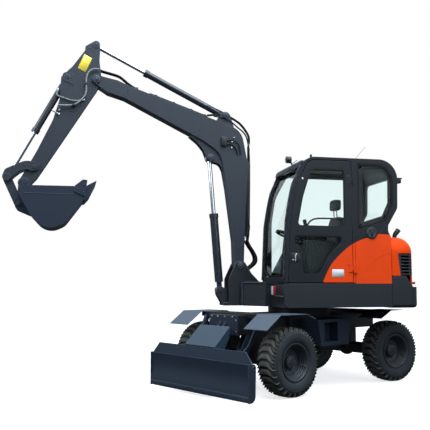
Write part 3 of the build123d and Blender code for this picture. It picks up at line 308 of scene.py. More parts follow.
def new_group(name, inputs, outputs):
    """Node group with named sockets; rows are (label, kind, value) and (label, kind)."""
    group = bpy.data.node_groups.new(name, "ShaderNodeTree")
    for label, kind, value in inputs:
        socket = group.interface.new_socket(label, in_out="INPUT", socket_type="NodeSocket" + kind)
        socket.default_value = value
    for label, kind in outputs:
        group.interface.new_socket(label, in_out="OUTPUT", socket_type="NodeSocket" + kind)
    return group, group.nodes.new("NodeGroupInput"), group.nodes.new("NodeGroupOutput")


def paint_film_group():
    """Sprayed paint: slow colour drift, orange peel, painted highlights on the softened edges, and dust."""
    group, given, made = new_group(
        "paint_film",
        [("Colour", "Color", (0.5, 0.5, 0.5, 1)), ("Edge highlight colour", "Color", (0.5, 0.5, 0.5, 1)),
         ("Edge highlight share", "Float", 0.3), ("Dust colour", "Color", (0.3, 0.27, 0.22, 1)),
         ("Dust share", "Float", 0.1), ("Roughness", "Float", 0.4), ("Peel", "Float", 0.08)],
        [("Colour", "Color"), ("Roughness", "Float"), ("Normal", "Vector")])
    where = node(group, "TexCoord").outputs["Object"]
    drift = noise(group, where, 2.6, 5.0, 0.6)
    grain = noise(group, where, 48.0, 4.0, 0.6)
    peel = noise(group, where, 380.0, 2.0)
    softened = node(group, "Bevel", {"Radius": 0.005}, samples=6).outputs[0]
    facts = node(group, "NewGeometry")
    true_normal = facts.outputs["True Normal"]
    dot = node(group, "VectorMath", {0: softened, 1: true_normal}, operation="DOT_PRODUCT")
    # Painted highlight: the lighter edge colour is mixed in where the softened normal turns from the true
    # one, varied by the grain
    edge = ramp(group, dot.outputs["Value"], 0.995, 0.9)
    edge = product(group, edge, ramp(group, grain, 0.35, 0.65, 0.55, 1.0))
    edge = product(group, edge, given.outputs["Edge highlight share"])
    upward = node(group, "SeparateXYZ", {0: true_normal}).outputs[2]
    settled = product(group, ramp(group, upward, 0.1, 1.0), ramp(group, drift, 0.35, 0.7, 0.35, 1.0))
    streaks = ramp(group, grain, 0.55, 0.8, 0.0, 0.35)
    dust = reckon(group, "MAXIMUM", settled, streaks)
    dust = product(group, dust, given.outputs["Dust share"])
    value = ramp(group, drift, 0.25, 0.75, 0.93, 1.07)
    tone = node(group, "VectorMath", {0: given.outputs["Colour"]}, operation="SCALE")
    connect(group, tone, Scale=value)
    colour = mix_colours(group, edge, tone.outputs[0], given.outputs["Edge highlight colour"])
    colour = mix_colours(group, dust, colour, given.outputs["Dust colour"])
    rough = reckon(group, "MULTIPLY_ADD", dust, 0.3, given.outputs["Roughness"])
    rough = reckon(group, "ADD", ramp(group, grain, 0.3, 0.7, -0.03, 0.03), rough)
    bump = node(group, "Bump", {"Strength": given.outputs["Peel"], "Distance": 0.0008, "Height": peel,
                                "Normal": softened})
    connect(group, made, Colour=colour, Roughness=rough, Normal=bump.outputs[0])
    return group


def rubber_skin_group():
    """Rubber: matt, faintly mottled, with patches of dust."""
    group, given, made = new_group(
        "rubber_skin",
        [("Colour", "Color", (0.02, 0.02, 0.02, 1)), ("Dust colour", "Color", (0.1, 0.1, 0.08, 1)),
         ("Dust share", "Float", 0.3), ("Grain", "Float", 0.2)],
        [("Colour", "Color"), ("Roughness", "Float"), ("Normal", "Vector")])
    where = node(group, "TexCoord").outputs["Object"]
    cloud = noise(group, where, 7.0, 5.0, 0.65)
    grit = noise(group, where, 160.0, 3.0, 0.6)
    mask = product(group, ramp(group, cloud, 0.3, 0.7), ramp(group, grit, 0.3, 0.75, 0.4, 1.0))
    mask = product(group, mask, given.outputs["Dust share"])
    colour = mix_colours(group, mask, given.outputs["Colour"], given.outputs["Dust colour"])
    softened = node(group, "Bevel", {"Radius": 0.003}, samples=4).outputs[0]
    bump = node(group, "Bump", {"Strength": given.outputs["Grain"], "Distance": 0.001, "Height": grit,
                                "Normal": softened})
    rough = ramp(group, cloud, 0.2, 0.8, 0.62, 0.82)
    connect(group, made, Colour=colour, Roughness=rough, Normal=bump.outputs[0])
    return group


PAINT_FILM = paint_film_group()
RUBBER_SKIN = rubber_skin_group()


def new_material(name, metallic=0.0, coat=0.0, specular=0.5):
    """New material with its node tree and its shader."""
    material = bpy.data.materials.new(name)
    material.use_nodes = True
    shader = material.node_tree.nodes["Principled BSDF"]
    shader.inputs["Metallic"].default_value = metallic
    shader.inputs["Coat Weight"].default_value = coat
    shader.inputs["Coat Roughness"].default_value = 0.12
    shader.inputs["Specular IOR Level"].default_value = specular
    return material, material.node_tree, shader


def use_group(tree, group, values, shader):
    """Places a group, with its values, on the shader."""
    placed = tree.nodes.new("ShaderNodeGroup")
    placed.node_tree = group
    for key, value in values.items():
        placed.inputs[key].default_value = value
    for label, socket in (("Colour", "Base Color"), ("Roughness", "Roughness"), ("Normal", "Normal")):
        tree.links.new(placed.outputs[label], shader.inputs[socket])
    return placed


DUST = (0.2, 0.19, 0.17, 1)


# Paint whose edges carry a painted highlight in a lighter colour
def painted(name, colour, edge, highlight_share, dust, rough, coat=0.0, specular=0.5):
    material, tree, shader = new_material(name, coat=coat, specular=specular)
    use_group(tree, PAINT_FILM, {
        "Colour": (*colour, 1), "Edge highlight colour": (*edge, 1), "Edge highlight share": highlight_share, "Dust colour": DUST,
        "Dust share": dust, "Roughness": rough, "Peel": 0.06}, shader)
    return material


def rubber(name, colour, dust_colour, dust, grain):
    material, tree, shader = new_material(name, specular=0.3)
    use_group(tree, RUBBER_SKIN, {
        "Colour": (*colour, 1), "Dust colour": (*dust_colour, 1), "Dust share": dust, "Grain": grain}, shader)
    return material


def polished(name, colour, rough):
    """Hard chrome or zinc, with fine marks in its tint and roughness."""
    material, tree, shader = new_material(name, metallic=1.0)
    where = node(tree, "TexCoord").outputs["Object"]
    marks = noise(tree, where, 140.0, 4.0, 0.7)
    tint = node(tree, "VectorMath", {0: colour}, operation="SCALE")
    connect(tree, tint, Scale=ramp(tree, marks, 0.3, 0.7, 0.94, 1.04))
    tree.links.new(tint.outputs[0], shader.inputs["Base Color"])
    connect(tree, shader, Roughness=ramp(tree, marks, 0.3, 0.7, rough * 0.8, rough * 1.25))
    return material


def clear_glass():
    """Thin, faintly tinted glass with an uneven film."""
    material, tree, shader = new_material("window_glass")
    where = node(tree, "TexCoord").outputs["Object"]
    film = noise(tree, where, 9.0, 3.0)
    tint = mix_colours(tree, film, (0.865, 0.952, 0.95, 1), (0.89, 0.962, 0.96, 1))
    tree.links.new(tint, shader.inputs["Base Color"])
    connect(tree, shader, Roughness=ramp(tree, film, 0.3, 0.8, 0.0, 0.025))
    shader.inputs["Transmission Weight"].default_value = 1.0
    shader.inputs["IOR"].default_value = 1.12
    return material


# Paints: colour, colour and share of the painted edge highlights, share of dust, roughness, coat
SLATE = painted("slate_paint", (0.03, 0.036, 0.048), (0.17, 0.21, 0.27), 0.7, 0.05, 0.46, specular=0.28)
SLATE_DARK = painted("slate_dark_paint", (0.019, 0.028, 0.047), (0.13, 0.17, 0.23), 0.7, 0.04, 0.46,
                     specular=0.3)
COVER_PAINT = painted("cover_paint", (0.02, 0.04, 0.066), (0.16, 0.21, 0.28), 0.7, 0.03, 0.46, 0.04)
FENDER_PAINT = painted("fender_paint", (0.05, 0.07, 0.1), (0.16, 0.21, 0.28), 0.6, 0.05, 0.48, 0.03)
CHARCOAL = painted("charcoal_paint", (0.01, 0.013, 0.018), (0.12, 0.15, 0.2), 0.7, 0.03, 0.4, 0.08)
BLACK = painted("black_paint", (0.005, 0.006, 0.008), (0.05, 0.06, 0.075), 0.5, 0.04, 0.45)
ORANGE = painted("orange_paint", (0.9, 0.062, 0.001), (0.92, 0.13, 0.012), 0.3, 0.01, 0.5, specular=0.12)
CYLINDER = painted("cylinder_paint", (0.016, 0.02, 0.03), (0.12, 0.15, 0.2), 0.6, 0.03, 0.26, 0.35)
RIM_PAINT = painted("rim_paint", (0.02, 0.024, 0.031), (0.14, 0.16, 0.19), 0.6, 0.06, 0.38, 0.1)
HOSE = rubber("hose_rubber", (0.006, 0.006, 0.007), (0.03, 0.03, 0.03), 0.25, 0.25)
PALE_HOSE = rubber("pale_hose", (0.2, 0.22, 0.23), (0.32, 0.33, 0.33), 0.4, 0.2)
MARKER_RED = painted("marker_red", (0.45, 0.012, 0.01), (0.6, 0.05, 0.04), 0.2, 0.02, 0.25, 0.5)
LENS_WHITE = painted("lens_white", (0.62, 0.66, 0.68), (0.8, 0.82, 0.84), 0.3, 0.02, 0.18, 0.6)
LABEL_YELLOW = painted("label_yellow", (0.87, 0.66, 0.03), (0.9, 0.75, 0.2), 0.3, 0.02, 0.35, 0.2)
LABEL_WHITE = painted("label_white", (0.66, 0.67, 0.67), (0.75, 0.75, 0.75), 0.3, 0.03, 0.35, 0.2)
TREAD = rubber("tread_rubber", (0.066, 0.068, 0.056), (0.2, 0.2, 0.165), 0.55, 0.35)
SIDEWALL = rubber("sidewall_rubber", (0.024, 0.029, 0.035), (0.065, 0.074, 0.08), 0.45, 0.2)
SEAL = rubber("seal_rubber", (0.006, 0.006, 0.007), (0.02, 0.02, 0.02), 0.2, 0.15)
CHROME = polished("rod_chrome", (0.86, 0.88, 0.9), 0.1)
ZINC = polished("zinc_plate", (0.62, 0.62, 0.6), 0.32)
GLASS = clear_glass()
SEAT_CLOTH = rubber("seat_cloth", (0.01, 0.013, 0.015), (0.03, 0.035, 0.035), 0.4, 0.5)
CAB_PLASTIC = rubber("cab_plastic", (0.007, 0.01, 0.011), (0.025, 0.03, 0.03), 0.2, 0.25)


def distance_along(tree, where, way):
    """How far a point lies along one of the house's own directions."""
    way = tuple(HOUSE_TURN.to_3x3() @ way)
    return node(tree, "VectorMath", {0: where, 1: way}, operation="DOT_PRODUCT").outputs["Value"]


def two_tone_paint():
    """Charcoal above and orange below a sweeping line on the house's sides, with near black painted shade
    within the cab.
    """
    material, tree, shader = new_material("two_tone_paint", specular=0.2)
    where = node(tree, "TexCoord").outputs["Object"]
    ahead = distance_along(tree, where, AHEAD)
    aside = distance_along(tree, where, OUT)
    back = product(tree, ahead, -1.0)
    height = node(tree, "SeparateXYZ", {0: where}).outputs[2]
    curve = node(tree, "FloatCurve", {"Value": back})
    points = curve.mapping.curves[0].points
    # The line's height above 1 m, by how far back it is
    line = [(0.0, 0.1), (0.004, 0.366), (0.04, 0.457), (0.12, 0.6), (0.2, 0.69), (0.311, 0.79),
            (0.4, 0.855), (0.56, 0.93), (0.636, 0.953), (0.775, 0.998), (0.869, 1.0)]
    while len(points) < len(line):
        points.new(0.5, 0.5)
    for point, place in zip(points, line):
        point.location = place
    curve.mapping.update()
    above = reckon(tree, "SUBTRACT", height, curve.outputs[0])
    apart = reckon(tree, "ABSOLUTE", aside)
    low = product(tree, ramp(tree, above, 1.001, 0.999), ramp(tree, apart, 0.86, 0.862))
    # The box of painted shade within the cab, each side as the distance where the near black starts and is
    # full
    painted_cab_shade = product(tree, ramp(tree, ahead, -1.0, -0.998), ramp(tree, ahead, 0.38, 0.378))
    for across, out_at, in_at in ((height, 2.932, 2.93), (height, 1.375, 1.377), (aside, 0.888, 0.886),
                                  (aside, -0.035, -0.033)):
        painted_cab_shade = product(tree, painted_cab_shade, ramp(tree, across, out_at, in_at))
    film = {"Edge highlight share": 0.5, "Dust colour": DUST, "Dust share": 0.02, "Roughness": 0.42, "Peel": 0.05}
    placed = use_group(tree, PAINT_FILM, film, shader)
    colour = mix_colours(tree, low, (0.015, 0.018, 0.023, 1), (0.92, 0.064, 0.001, 1))
    # Painted shade: near black colour and edges within the cab's box
    colour = mix_colours(tree, painted_cab_shade, colour, (0.003, 0.006, 0.006, 1))
    # Painted highlights on the edges, in lighter charcoal and lighter orange
    edge = mix_colours(tree, low, (0.12, 0.15, 0.2, 1), (0.86, 0.12, 0.015, 1))
    edge = mix_colours(tree, painted_cab_shade, edge, (0.006, 0.012, 0.012, 1))
    connect(tree, placed, **{"Colour": colour, "Edge highlight colour": edge})
    return material


TWO_TONE = two_tone_paint()

FINISHES = [
    (SLATE, ["boom", "arm", "rocker", "link", "hood_grilles"]),
    (COVER_PAINT, ["blade_cover"]),
    (FENDER_PAINT, ["front_fenders", "rear_fenders"]),
    (SLATE_DARK, ["bucket", "blade_board", "blade_arms", "side_boxes", "blade_bracket"]),
    (CHARCOAL, ["work_lamps", "counterweight", "side_skirts", "upper_frame"]),
    (ORANGE, ["engine_hood"]),
    (TWO_TONE, ["cab_door", "cab_shell", "side_panel_left", "right_house"]),
    (BLACK, ["chassis_frame", "slew_ring", "front_axle", "rear_axle", "knuckle_left", "knuckle_right",
             "drive_line", "engine_block"]),
    (CYLINDER, ["boom_ram_barrel", "arm_ram_barrel", "bucket_ram_barrel", "blade_ram_barrel"]),
    (CHROME, ["boom_ram_rod", "arm_ram_rod", "bucket_ram_rod", "blade_ram_rod"]),
    (GLASS, ["cab_glass", "door_glass"]),
    (SEAT_CLOTH, ["seat"]),
    (CAB_PLASTIC, ["console"]),
]
for finish, names in FINISHES:
    for name in names:
        nodes[name].data.materials.clear()
        nodes[name].data.materials.append(finish)


# Wheels

TYRE_RADIUS = 0.4175
LUGS = 28
LUG_TAPER = 0.86
TREAD_DEPTH = 0.024
# How far the grooves reach over the crown, from its middle, and in how many steps
GROOVE_REACH = 0.212
GROOVE_STEPS = 12
REAR_STEER = Matrix.Rotation(math.radians(-10), 4, "Z")
# name, hub centre's x and y, kingpin's y (0 for the rigid axle), side
WHEELS = [
    ("front_left", 1.055, 0.78, 0, 1),
    ("front_right", 1.055, -0.78, 0, -1),
    ("rear_left", -1.055, 0.78, 0.545, 1),
    ("rear_right", -1.055, -0.78, -0.545, -1),
]
# Outer skin from the crown's middle to the end of the lugs, as (across, radius)
CROWN = mm([(0, 417.4), (55, 417.2), (100, 413.5), (128, 406.5), (142, 397), (150, 382), (152.2, 364),
            (150, 345)])
# Sidewall from there to the bead
SIDE = mm([(150, 345), (147.5, 338.5), (148.5, 330), (150.5, 310), (149.5, 288), (143.5, 268), (135, 254),
           (129, 246), (125, 244), (123, 240), (119.6, 229), (119, 206)])


def along_crown(distance):
    """Point and outward direction on the crown at a distance from its middle, for the left half."""
    left = distance
    for (a, r), (b, s) in zip(CROWN, CROWN[1:]):
        length = math.dist((a, r), (b, s))
        if left <= length or (b, s) == CROWN[-1]:
            share = left / length
            across, up = (b - a) / length, (s - r) / length
            return (a + (b - a) * share, r + (s - r) * share), (-up, across)
        left -= length


def wrap_lug(vert, start_angle):
    """Bends a lug, drawn flat as (along the tread, across, height), onto the tyre."""
    along, across, height = vert.co
    side = -1 if across < 0 else 1
    (y, radius), (out_y, out_r) = along_crown(abs(across))
    y += out_y * (height - TREAD_DEPTH)
    radius += out_r * (height - TREAD_DEPTH)
    angle = start_angle + along / TYRE_RADIUS
    vert.co = (radius * math.cos(angle), side * y, radius * math.sin(angle))


def add_lugs(bm):
    """Full-width chevron lugs with a flat middle, their ends wrapped over both shoulders."""
    # Centre line of one lug: across, offset along the tread, width along the tread
    half = mm([(52, 0, 56), (66, -8, 58), (126, -86, 62), (142, -92, 63), (186, -96, 61), (222, -100, 50)])
    line = [(-across, at, width) for across, at, width in half[::-1]] + [(0.0, 0.0, 0.054)] + half
    pitch = math.tau / LUGS
    for lug in range(LUGS):
        before = set(bm.verts)
        low = [bm.verts.new((at - width / 2 - 0.003, across, -0.002)) for across, at, width in line]
        high = [bm.verts.new((at + width / 2 + 0.003, across, -0.002)) for across, at, width in line]
        top = extrude(bm, [bm.faces.new(low + high[::-1])], ORIGIN)
        # Its ends fall off in two steps, and its top is narrower than its foot
        for v in top:
            ends = 0.3 if abs(v.co.y) > 0.21 else 0.72 if abs(v.co.y) > 0.17 else 1.0
            v.co.z = TREAD_DEPTH * ends
            row = min(line, key=lambda r: abs(r[0] - v.co.y))
            v.co.x = row[1] + (v.co.x - row[1]) * LUG_TAPER
        bm.normal_update()
        edges = {e for v in top for e in v.link_edges if e.other_vert(v) in top and e.is_manifold
                 and e.calc_face_angle(0) > LUG_EDGE}
        bmesh.ops.bevel(bm, geom=list(edges), offset=0.0035, segments=2, profile=0.5, affect="EDGES",
                        material=-1)
        for v in set(bm.verts) - before:
            wrap_lug(v, lug * pitch)


def tyre_bmesh():
    """Carcass with a ring low and high on each sidewall; the lugs have the second material."""
    bm = bmesh.new()
    crown = []
    for k in range(GROOVE_STEPS + 1):
        (y, radius), (out_y, out_r) = along_crown(GROOVE_REACH * k / GROOVE_STEPS)
        # The grooves' floor comes up over the last steps
        sunk = TREAD_DEPTH * min(1.0, (GROOVE_STEPS + 0.4 - k) / 3.4)
        crown.append((y - out_y * sunk, radius - out_r * sunk))
    half = crown + SIDE[1:]
    profile = [(-y, r) for y, r in half[::-1]] + half[1:]
    add_spin(bm, profile, ORIGIN, OUT, steps=112)
    for ring_radius, y, thickness in ((0.3365, 0.148, 0.0026), (0.262, 0.1398, 0.0024)):
        for side in (-1, 1):
            add_ring(bm, (0, side * y, 0), OUT, ring_radius, thickness, steps=96)
    carcass = len(bm.faces)
    add_lugs(bm)
    bm.faces.ensure_lookup_table()
    for k in range(carcass, len(bm.faces)):
        bm.faces[k].material_index = 1
    return bm


def rim_bmesh():
    """Deep dished rim with its hub and wheel nuts, seen from its outer side at +y."""
    bm = bmesh.new()
    # Profiles are (along the axle, radius): stepped dish seen from outside, its back, and the hub
    dish = mm([(131, 227.5), (131.8, 225.5), (131.8, 222), (130, 214), (126, 209), (119, 206.5), (112, 205),
               (108, 199), (92, 197.5), (86, 190), (69, 188.5), (62, 180), (44, 178.5), (37, 170),
               (18, 169), (10, 164), (6, 150), (6, 132), (1, 124), (1, 86)])
    back = mm([(-10, 86), (-10, 168), (-20, 190), (-112, 195), (-124, 206), (-131, 225.5), (-128, 227.5),
               (-120.5, 227), (-119, 205.6), (119, 205.6), (120.5, 227)])
    add_spin(bm, dish + back, ORIGIN, OUT, steps=96, closed=True)
    hub = mm([(-6, 0), (-6, 92), (12, 92.5), (17, 89), (19, 83), (48, 79), (54, 76), (56.5, 70), (57.5, 45),
              (60.5, 42), (61.5, 30), (62, 0)])
    add_spin(bm, hub, ORIGIN, OUT, steps=64)
    # Wheel nuts and the hub cover's bolts: count, first one's step, circle, y, size, height
    for count, first, circle, y, size, height in (
        (8, 0.5, 0.109, 0.003, 0.0125, 0.018),
        (6, 0, 0.06, 0.056, 0.006, None),
    ):
        for k in range(count):
            turn = math.tau * (k + first) / count
            add_bolt(bm, (circle * math.cos(turn), y, circle * math.sin(turn)), OUT, size, height)
    bmesh.ops.remove_doubles(bm, verts=bm.verts, dist=0.00002)
    return bm


def valve_bmesh():
    """Valve stem with its cap."""
    bm = bmesh.new()
    add_rod(bm, (0.17, 0.06, 0), (0.186, 0.112, 0), 0.0052, sides=12)
    add_rod(bm, (0.1845, 0.107, 0), (0.1885, 0.12, 0), 0.0068, 0.0058, sides=12, bevel=0.001)
    return bm


for name, x, y, kingpin, side in WHEELS:
    if kingpin:
        pin = Matrix.Translation((x, kingpin, TYRE_RADIUS))
        stand = pin @ REAR_STEER @ Matrix.Translation((0, y - kingpin, 0))
    else:
        stand = Matrix.Translation((x, y, TYRE_RADIUS))
    facing = stand @ (Matrix.Rotation(math.pi, 4, "Z") if side < 0 else STANDS)
    body = name + "_wheel"
    tyre = piece("tyre_tread_" + name, tyre_bmesh(), body, [SIDEWALL, TREAD], stand, sharp=48)
    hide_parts("tyre_" + name)
    rim = piece("rim_dish_" + name, rim_bmesh(), body, RIM_PAINT, facing)
    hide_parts("rim_" + name)
    valve_turn = Matrix.Rotation(math.radians(164 if side > 0 else 200), 4, "Y")
    piece("valve_" + name, valve_bmesh(), body, ZINC, facing @ valve_turn)


# Places for flat outlines, and pieces that are made of like shapes

def side_view(y, out=1):
    """Lays an outline (x, z) in the side view at this y."""
    return Matrix(((1, 0, 0, 0), (0, 0, out, y), (0, 1, 0, 0), (0, 0, 0, 1)))


def at_y(y, points):
    """Points (x, z) of the side view at one y."""
    return [(x, y, z) for x, z in points]


def runs(*rows):
    """Routes for tubes, from rows of (radius, y, points of the side view)."""
    return [(radius, at_y(y, points)) for radius, y, points in rows]


def add_sheet(bm, corners, place, thickness, bevel, steps=2):
    """Flat sheet with rounded corners, raised from its place by its thickness."""
    own = bmesh.new()
    rounded_face(own, corners, place)
    extrude(own, own.faces[:], place.to_3x3() @ UP * thickness)
    round_edges(own, own.verts, bevel, steps, least=60)
    join(bm, own)


def add_pin_head(bm, x, z, radius, face):
    """Pin head on its collar, with a grease nipple and a keeper bolt."""
    at = Vector((x, face, z))
    add_rod(bm, at - OUT * 0.004, at + OUT * 0.007, radius, sides=48, bevel=0.003)
    add_ring(bm, at + OUT * 0.007, OUT, radius * 0.8, 0.0028)
    add_rod(bm, at, at + OUT * 0.013, radius * 0.62, sides=40, bevel=0.0035)
    add_rod(bm, at + OUT * 0.011, at + OUT * 0.017, radius * 0.16, sides=12, bevel=0.001)
    add_bolt(bm, at - UP * radius * 1.18, OUT, 0.009)


def sheet(name, corners, place, thickness, bevel, body, material, steps=2):
    """Piece of one flat sheet."""
    bm = bmesh.new()
    add_sheet(bm, corners, place, thickness, bevel, steps)
    piece(name, bm, body, material)


def bolts(name, points, direction, size, body, material, height=None):
    """Piece of equal bolts."""
    bm = bmesh.new()
    for point in points:
        add_bolt(bm, point, direction, size, height)
    piece(name, bm, body, material)


def blocks(name, rows, body, material, place=HOUSE_TURN):
    """Piece of blocks; rows are (low corner, high corner, bevel)."""
    bm = bmesh.new()
    for low, high, bevel in rows:
        add_block(bm, low, high, bevel)
    piece(name, bm, body, material, place=place)


def turned(name, profile, centre, axis, steps, material):
    """Piece of the upper structure from one turned profile."""
    bm = bmesh.new()
    add_spin(bm, profile, centre, axis, steps)
    piece(name, bm, "upper", material)


def pin_heads(name, rows, body):
    """Piece of pin heads; rows are (x, z, radius, y of the face)."""
    bm = bmesh.new()
    for row in rows:
        add_pin_head(bm, *row)
    piece(name, bm, body, SLATE)


def welds(name, lines, y, body):
    """Weld beads on a side face, along lines of (x, z) in millimetres."""
    tubes(name, [(WELD_RADIUS, at_y(y, mm(line))) for line in lines], body, SLATE)


# Cab: window seals, windscreen posts and brow. Outlines are (x, z, corner radius) in millimetres.

SEAL_FACE = 0.9145
UPPER_WINDOW = mm([(344, 2086, 55), (264, 2480, 900), (146, 2836, 70), (-325, 2836, 45), (-322, 2078, 45)])
LOWER_WINDOW = mm([(375, 1968, 30), (375, 1878, 45), (274, 1790, 60), (272, 1472, 55), (42, 1472, 50),
                   (-95, 1710, 400), (-272, 1888, 35), (-276, 1966, 35)])
QUARTER_WINDOW = mm([(-500, 2052, 25), (-500, 2935, 25), (-900, 2935, 170), (-1020, 2760, 120),
                     (-1012, 2400, 120), (-905, 2180, 40)])
RIGHT_WINDOW = mm([(395, 1480, 40), (390, 2200, 600), (330, 2560, 400), (150, 2880, 80), (-900, 2880, 150),
                   (-980, 2700, 100), (-980, 2400, 100), (-860, 2120, 60), (-390, 2100, 60),
                   (-390, 1480, 60)])
# The cab's front edge from its foot up, as (x, z)
CAB_FRONT = mm([(510, 1368), (506, 1440), (474, 2150), (436, 2375), (392, 2600), (352, 2700), (300, 2800),
                (271, 2862)])
FRONT_STEPS = 12


def cab_front(z):
    """How far forward the cab's front is at a height."""
    for (x, low), (ahead, high) in zip(CAB_FRONT, CAB_FRONT[1:]):
        if z <= high:
            return x + (ahead - x) * (z - low) / (high - low)
    return CAB_FRONT[-1][0]


def follow_front(low, high, lead):
    """Points along the cab's front between two heights, a little ahead of it."""
    heights = [low + (high - low) * k / FRONT_STEPS for k in range(FRONT_STEPS + 1)]
    return [(cab_front(z) + lead, z) for z in heights]


for name, outline, place, width, depth, body in (
    ("seal_door_upper", UPPER_WINDOW, side_view(SEAL_FACE), 0.017, 0.012, "door"),
    ("seal_door_lower", LOWER_WINDOW, side_view(SEAL_FACE), 0.017, 0.012, "door"),
    ("seal_quarter_window", QUARTER_WINDOW, side_view(SEAL_FACE), 0.03, 0.013, "upper"),
    ("seal_right_window", RIGHT_WINDOW, side_view(-0.0435, -1), 0.02, 0.012, "upper"),
):
    piece(name, seal_strip(outline, place, width, depth), body, SEAL)

front_edge = follow_front(1.452, 2.868, -0.006)
around = at_y(0.014, front_edge) + at_y(0.856, front_edge[::-1])
tubes("seal_windscreen", [(0.011, around + around[:2])], "upper", SEAL)

bm = bmesh.new()
front_edge = follow_front(1.4, 2.88, 0.004)
for y in (-0.05, 0.893):
    for (x, z), (ahead, high) in zip(front_edge, front_edge[1:]):
        lean = Matrix.Rotation(math.atan2(ahead - x, high - z), 4, "Y")
        lie = Matrix.Translation(((x + ahead) / 2, y, (z + high) / 2)) @ lean
        reach = math.dist((x, z), (ahead, high)) / 2 + 0.002
        add_block(bm, (-0.012, -0.018, -reach), (0.012, 0.018, reach), 0.004, lie)
piece("windscreen_posts", bm, "upper", CHARCOAL)

brow = mm([(210, 2960, 10), (262, 2952, 30), (298, 2915, 30), (312, 2858, 8), (268, 2856, 0)])
sheet("windscreen_brow", brow, side_view(-0.055), 0.93, 0.01, "upper", SLATE, steps=3)
brow_bolts = [(0.306, y, 2.89) for y in (0.1, 0.3, 0.55, 0.8)]
bolts("brow_bolts", brow_bolts, (1, 0, 0.25), 0.008, "upper", BLACK)


# Door: handle recess with its lever and lock, stay point, hinge bolts and label

HINGE_FACE = 0.9365
sheet("door_handle_bezel", mm([(300, 1625, 30), (428, 1625, 30), (428, 1746, 30), (300, 1746, 30)]),
      side_view(0.9285), 0.0035, 0.0015, "door", BLACK)
bm = bmesh.new()
lever = at_y(0.935, mm([(352, 1728), (360, 1722), (366, 1690), (364, 1655), (368, 1640)]))
lever_mesh = tube_mesh("lever", [(0.0085, [(0.352, 0.931, 1.735), *lever, (0.368, 0.93, 1.632)])], STANDS)
bm.from_mesh(lever_mesh)
bpy.data.meshes.remove(lever_mesh)
add_rod(bm, (0.398, 0.9305, 1.655), (0.398, 0.936, 1.655), 0.011, bevel=0.002)
add_rod(bm, (0.255, 0.929, 2.705), (0.255, 0.935, 2.705), 0.014, bevel=0.003)
piece("door_handle_lever", bm, "door", ZINC)
for name, across, up, body, finish in (
    ("lower_hinge_door_bolts", (-0.362, -0.386), (1.595, 1.503), "door", BLACK),
    ("lower_hinge_cab_bolts", (-0.46,), (1.595, 1.503), "upper", BLACK),
    ("upper_hinge_door_bolts", (-0.362, -0.386), (2.668, 2.76), "door", SLATE),
):
    bolts(name, [(x, HINGE_FACE, z) for x in across for z in up], OUT, 0.0075, body, finish, 0.003)
sheet("label_door", mm([(-292, 1440, 5), (-128, 1440, 5), (-128, 1538, 5), (-292, 1538, 5)]),
      side_view(0.9297), 0.0016, 0.0004, "door", LABEL_WHITE)


# House: filler cap, work lamps and aerial, and the side panel's crease

cap = mm([(0, 78), (6, 78), (12, 74), (15, 62), (15.5, 50), (13, 44), (13, 20), (14.5, 16), (15, 0)])
turned("filler_cap", cap, (-0.69, 0.9298, 2.012), OUT, 64, CHARCOAL)
blocks("filler_cap_grip", [((-0.703, 0.942, 1.96), (-0.677, 0.9475, 2.064), 0.002)], "upper", BLACK)

LAMP_Y, LAMP_Z = 0.6, 3.005
turned("work_lamp_lens", mm([(0, 0), (1.5, 12), (4, 24), (5.5, 34), (6, 40), (4, 43.5)]),
       (0.3555, LAMP_Y, LAMP_Z), AHEAD, 48, LENS_WHITE)
bm = bmesh.new()
add_ring(bm, (0.36, LAMP_Y, LAMP_Z), AHEAD, 0.043, 0.004)
for turn in (0.4, 2.5, 4.6):
    outward = Vector((0, math.cos(turn), math.sin(turn)))
    add_bolt(bm, Vector((0.325, LAMP_Y, LAMP_Z)) + outward * 0.045, outward, 0.005)
piece("work_lamp_bezel", bm, "upper", BLACK)
cable = mm([(300, 600, 2975), (262, 606, 2955), (240, 603, 2985), (205, 600, 3006)])
tubes("work_lamp_cable", [(0.004, cable)], "upper", HOSE)

aerial = mm([(-610, 2996), (-632, 3060), (-700, 3140), (-786, 3230)])
tubes("aerial", runs((0.0022, 0.6, aerial)), "upper", HOSE)
turned("aerial_base", mm([(0, 26), (4, 26), (10, 20), (18, 10), (36, 6), (40, 0)]),
       (-0.608, 0.6, 2.997), UP, 32, SEAL)

bm = bmesh.new()
add_block(bm, (-1.18, 0.77, 2.702), (-1.098, 0.85, 2.768), 0.01)
add_rod(bm, (-1.082, 0.81, 2.735), (-1.105, 0.81, 2.735), 0.012, sides=20, bevel=0.002)
add_block(bm, (-1.19, 0.764, 2.76), (-1.12, 0.856, 2.774), 0.004)
piece("rear_work_lamp", bm, "upper", BLACK)

crease = mm([(-577, 1533), (-640, 1605), (-710, 1669), (-790, 1712), (-875, 1740), (-950, 1760)])
tubes("side_panel_crease", runs((0.0035, 0.9295, crease)), "upper", ORANGE)


# Front box: bent tube round its slanted face, cover bolts, marker lamp and cab step

BOX_ALONG = Vector((-0.5627, 0.8267, 0))
BOX_OUT = Vector((0.8267, 0.5627, 0))


def slanted(across, up, out=0.0):
    """Point on the front box's slanted left face."""
    return Vector((0.826, 0.015, up)) + BOX_ALONG * across + BOX_OUT * out


corners = mm([(12, 1060), (12, 1200), (12, 1320), (16, 1356), (50, 1366), (150, 1368), (280, 1368)])
edge_route = [slanted(across, up, 0.006) for across, up in corners] + [slanted(0.372, 1.366, 0.004)]
tubes("front_box_edge", [(0.013, edge_route)], "upper", SLATE)
corners = mm([(55, 1110), (55, 1310), (345, 1310), (345, 1110)])
bolts("front_box_bolts", [slanted(across, up) for across, up in corners], BOX_OUT, 0.008, "upper", CHARCOAL)

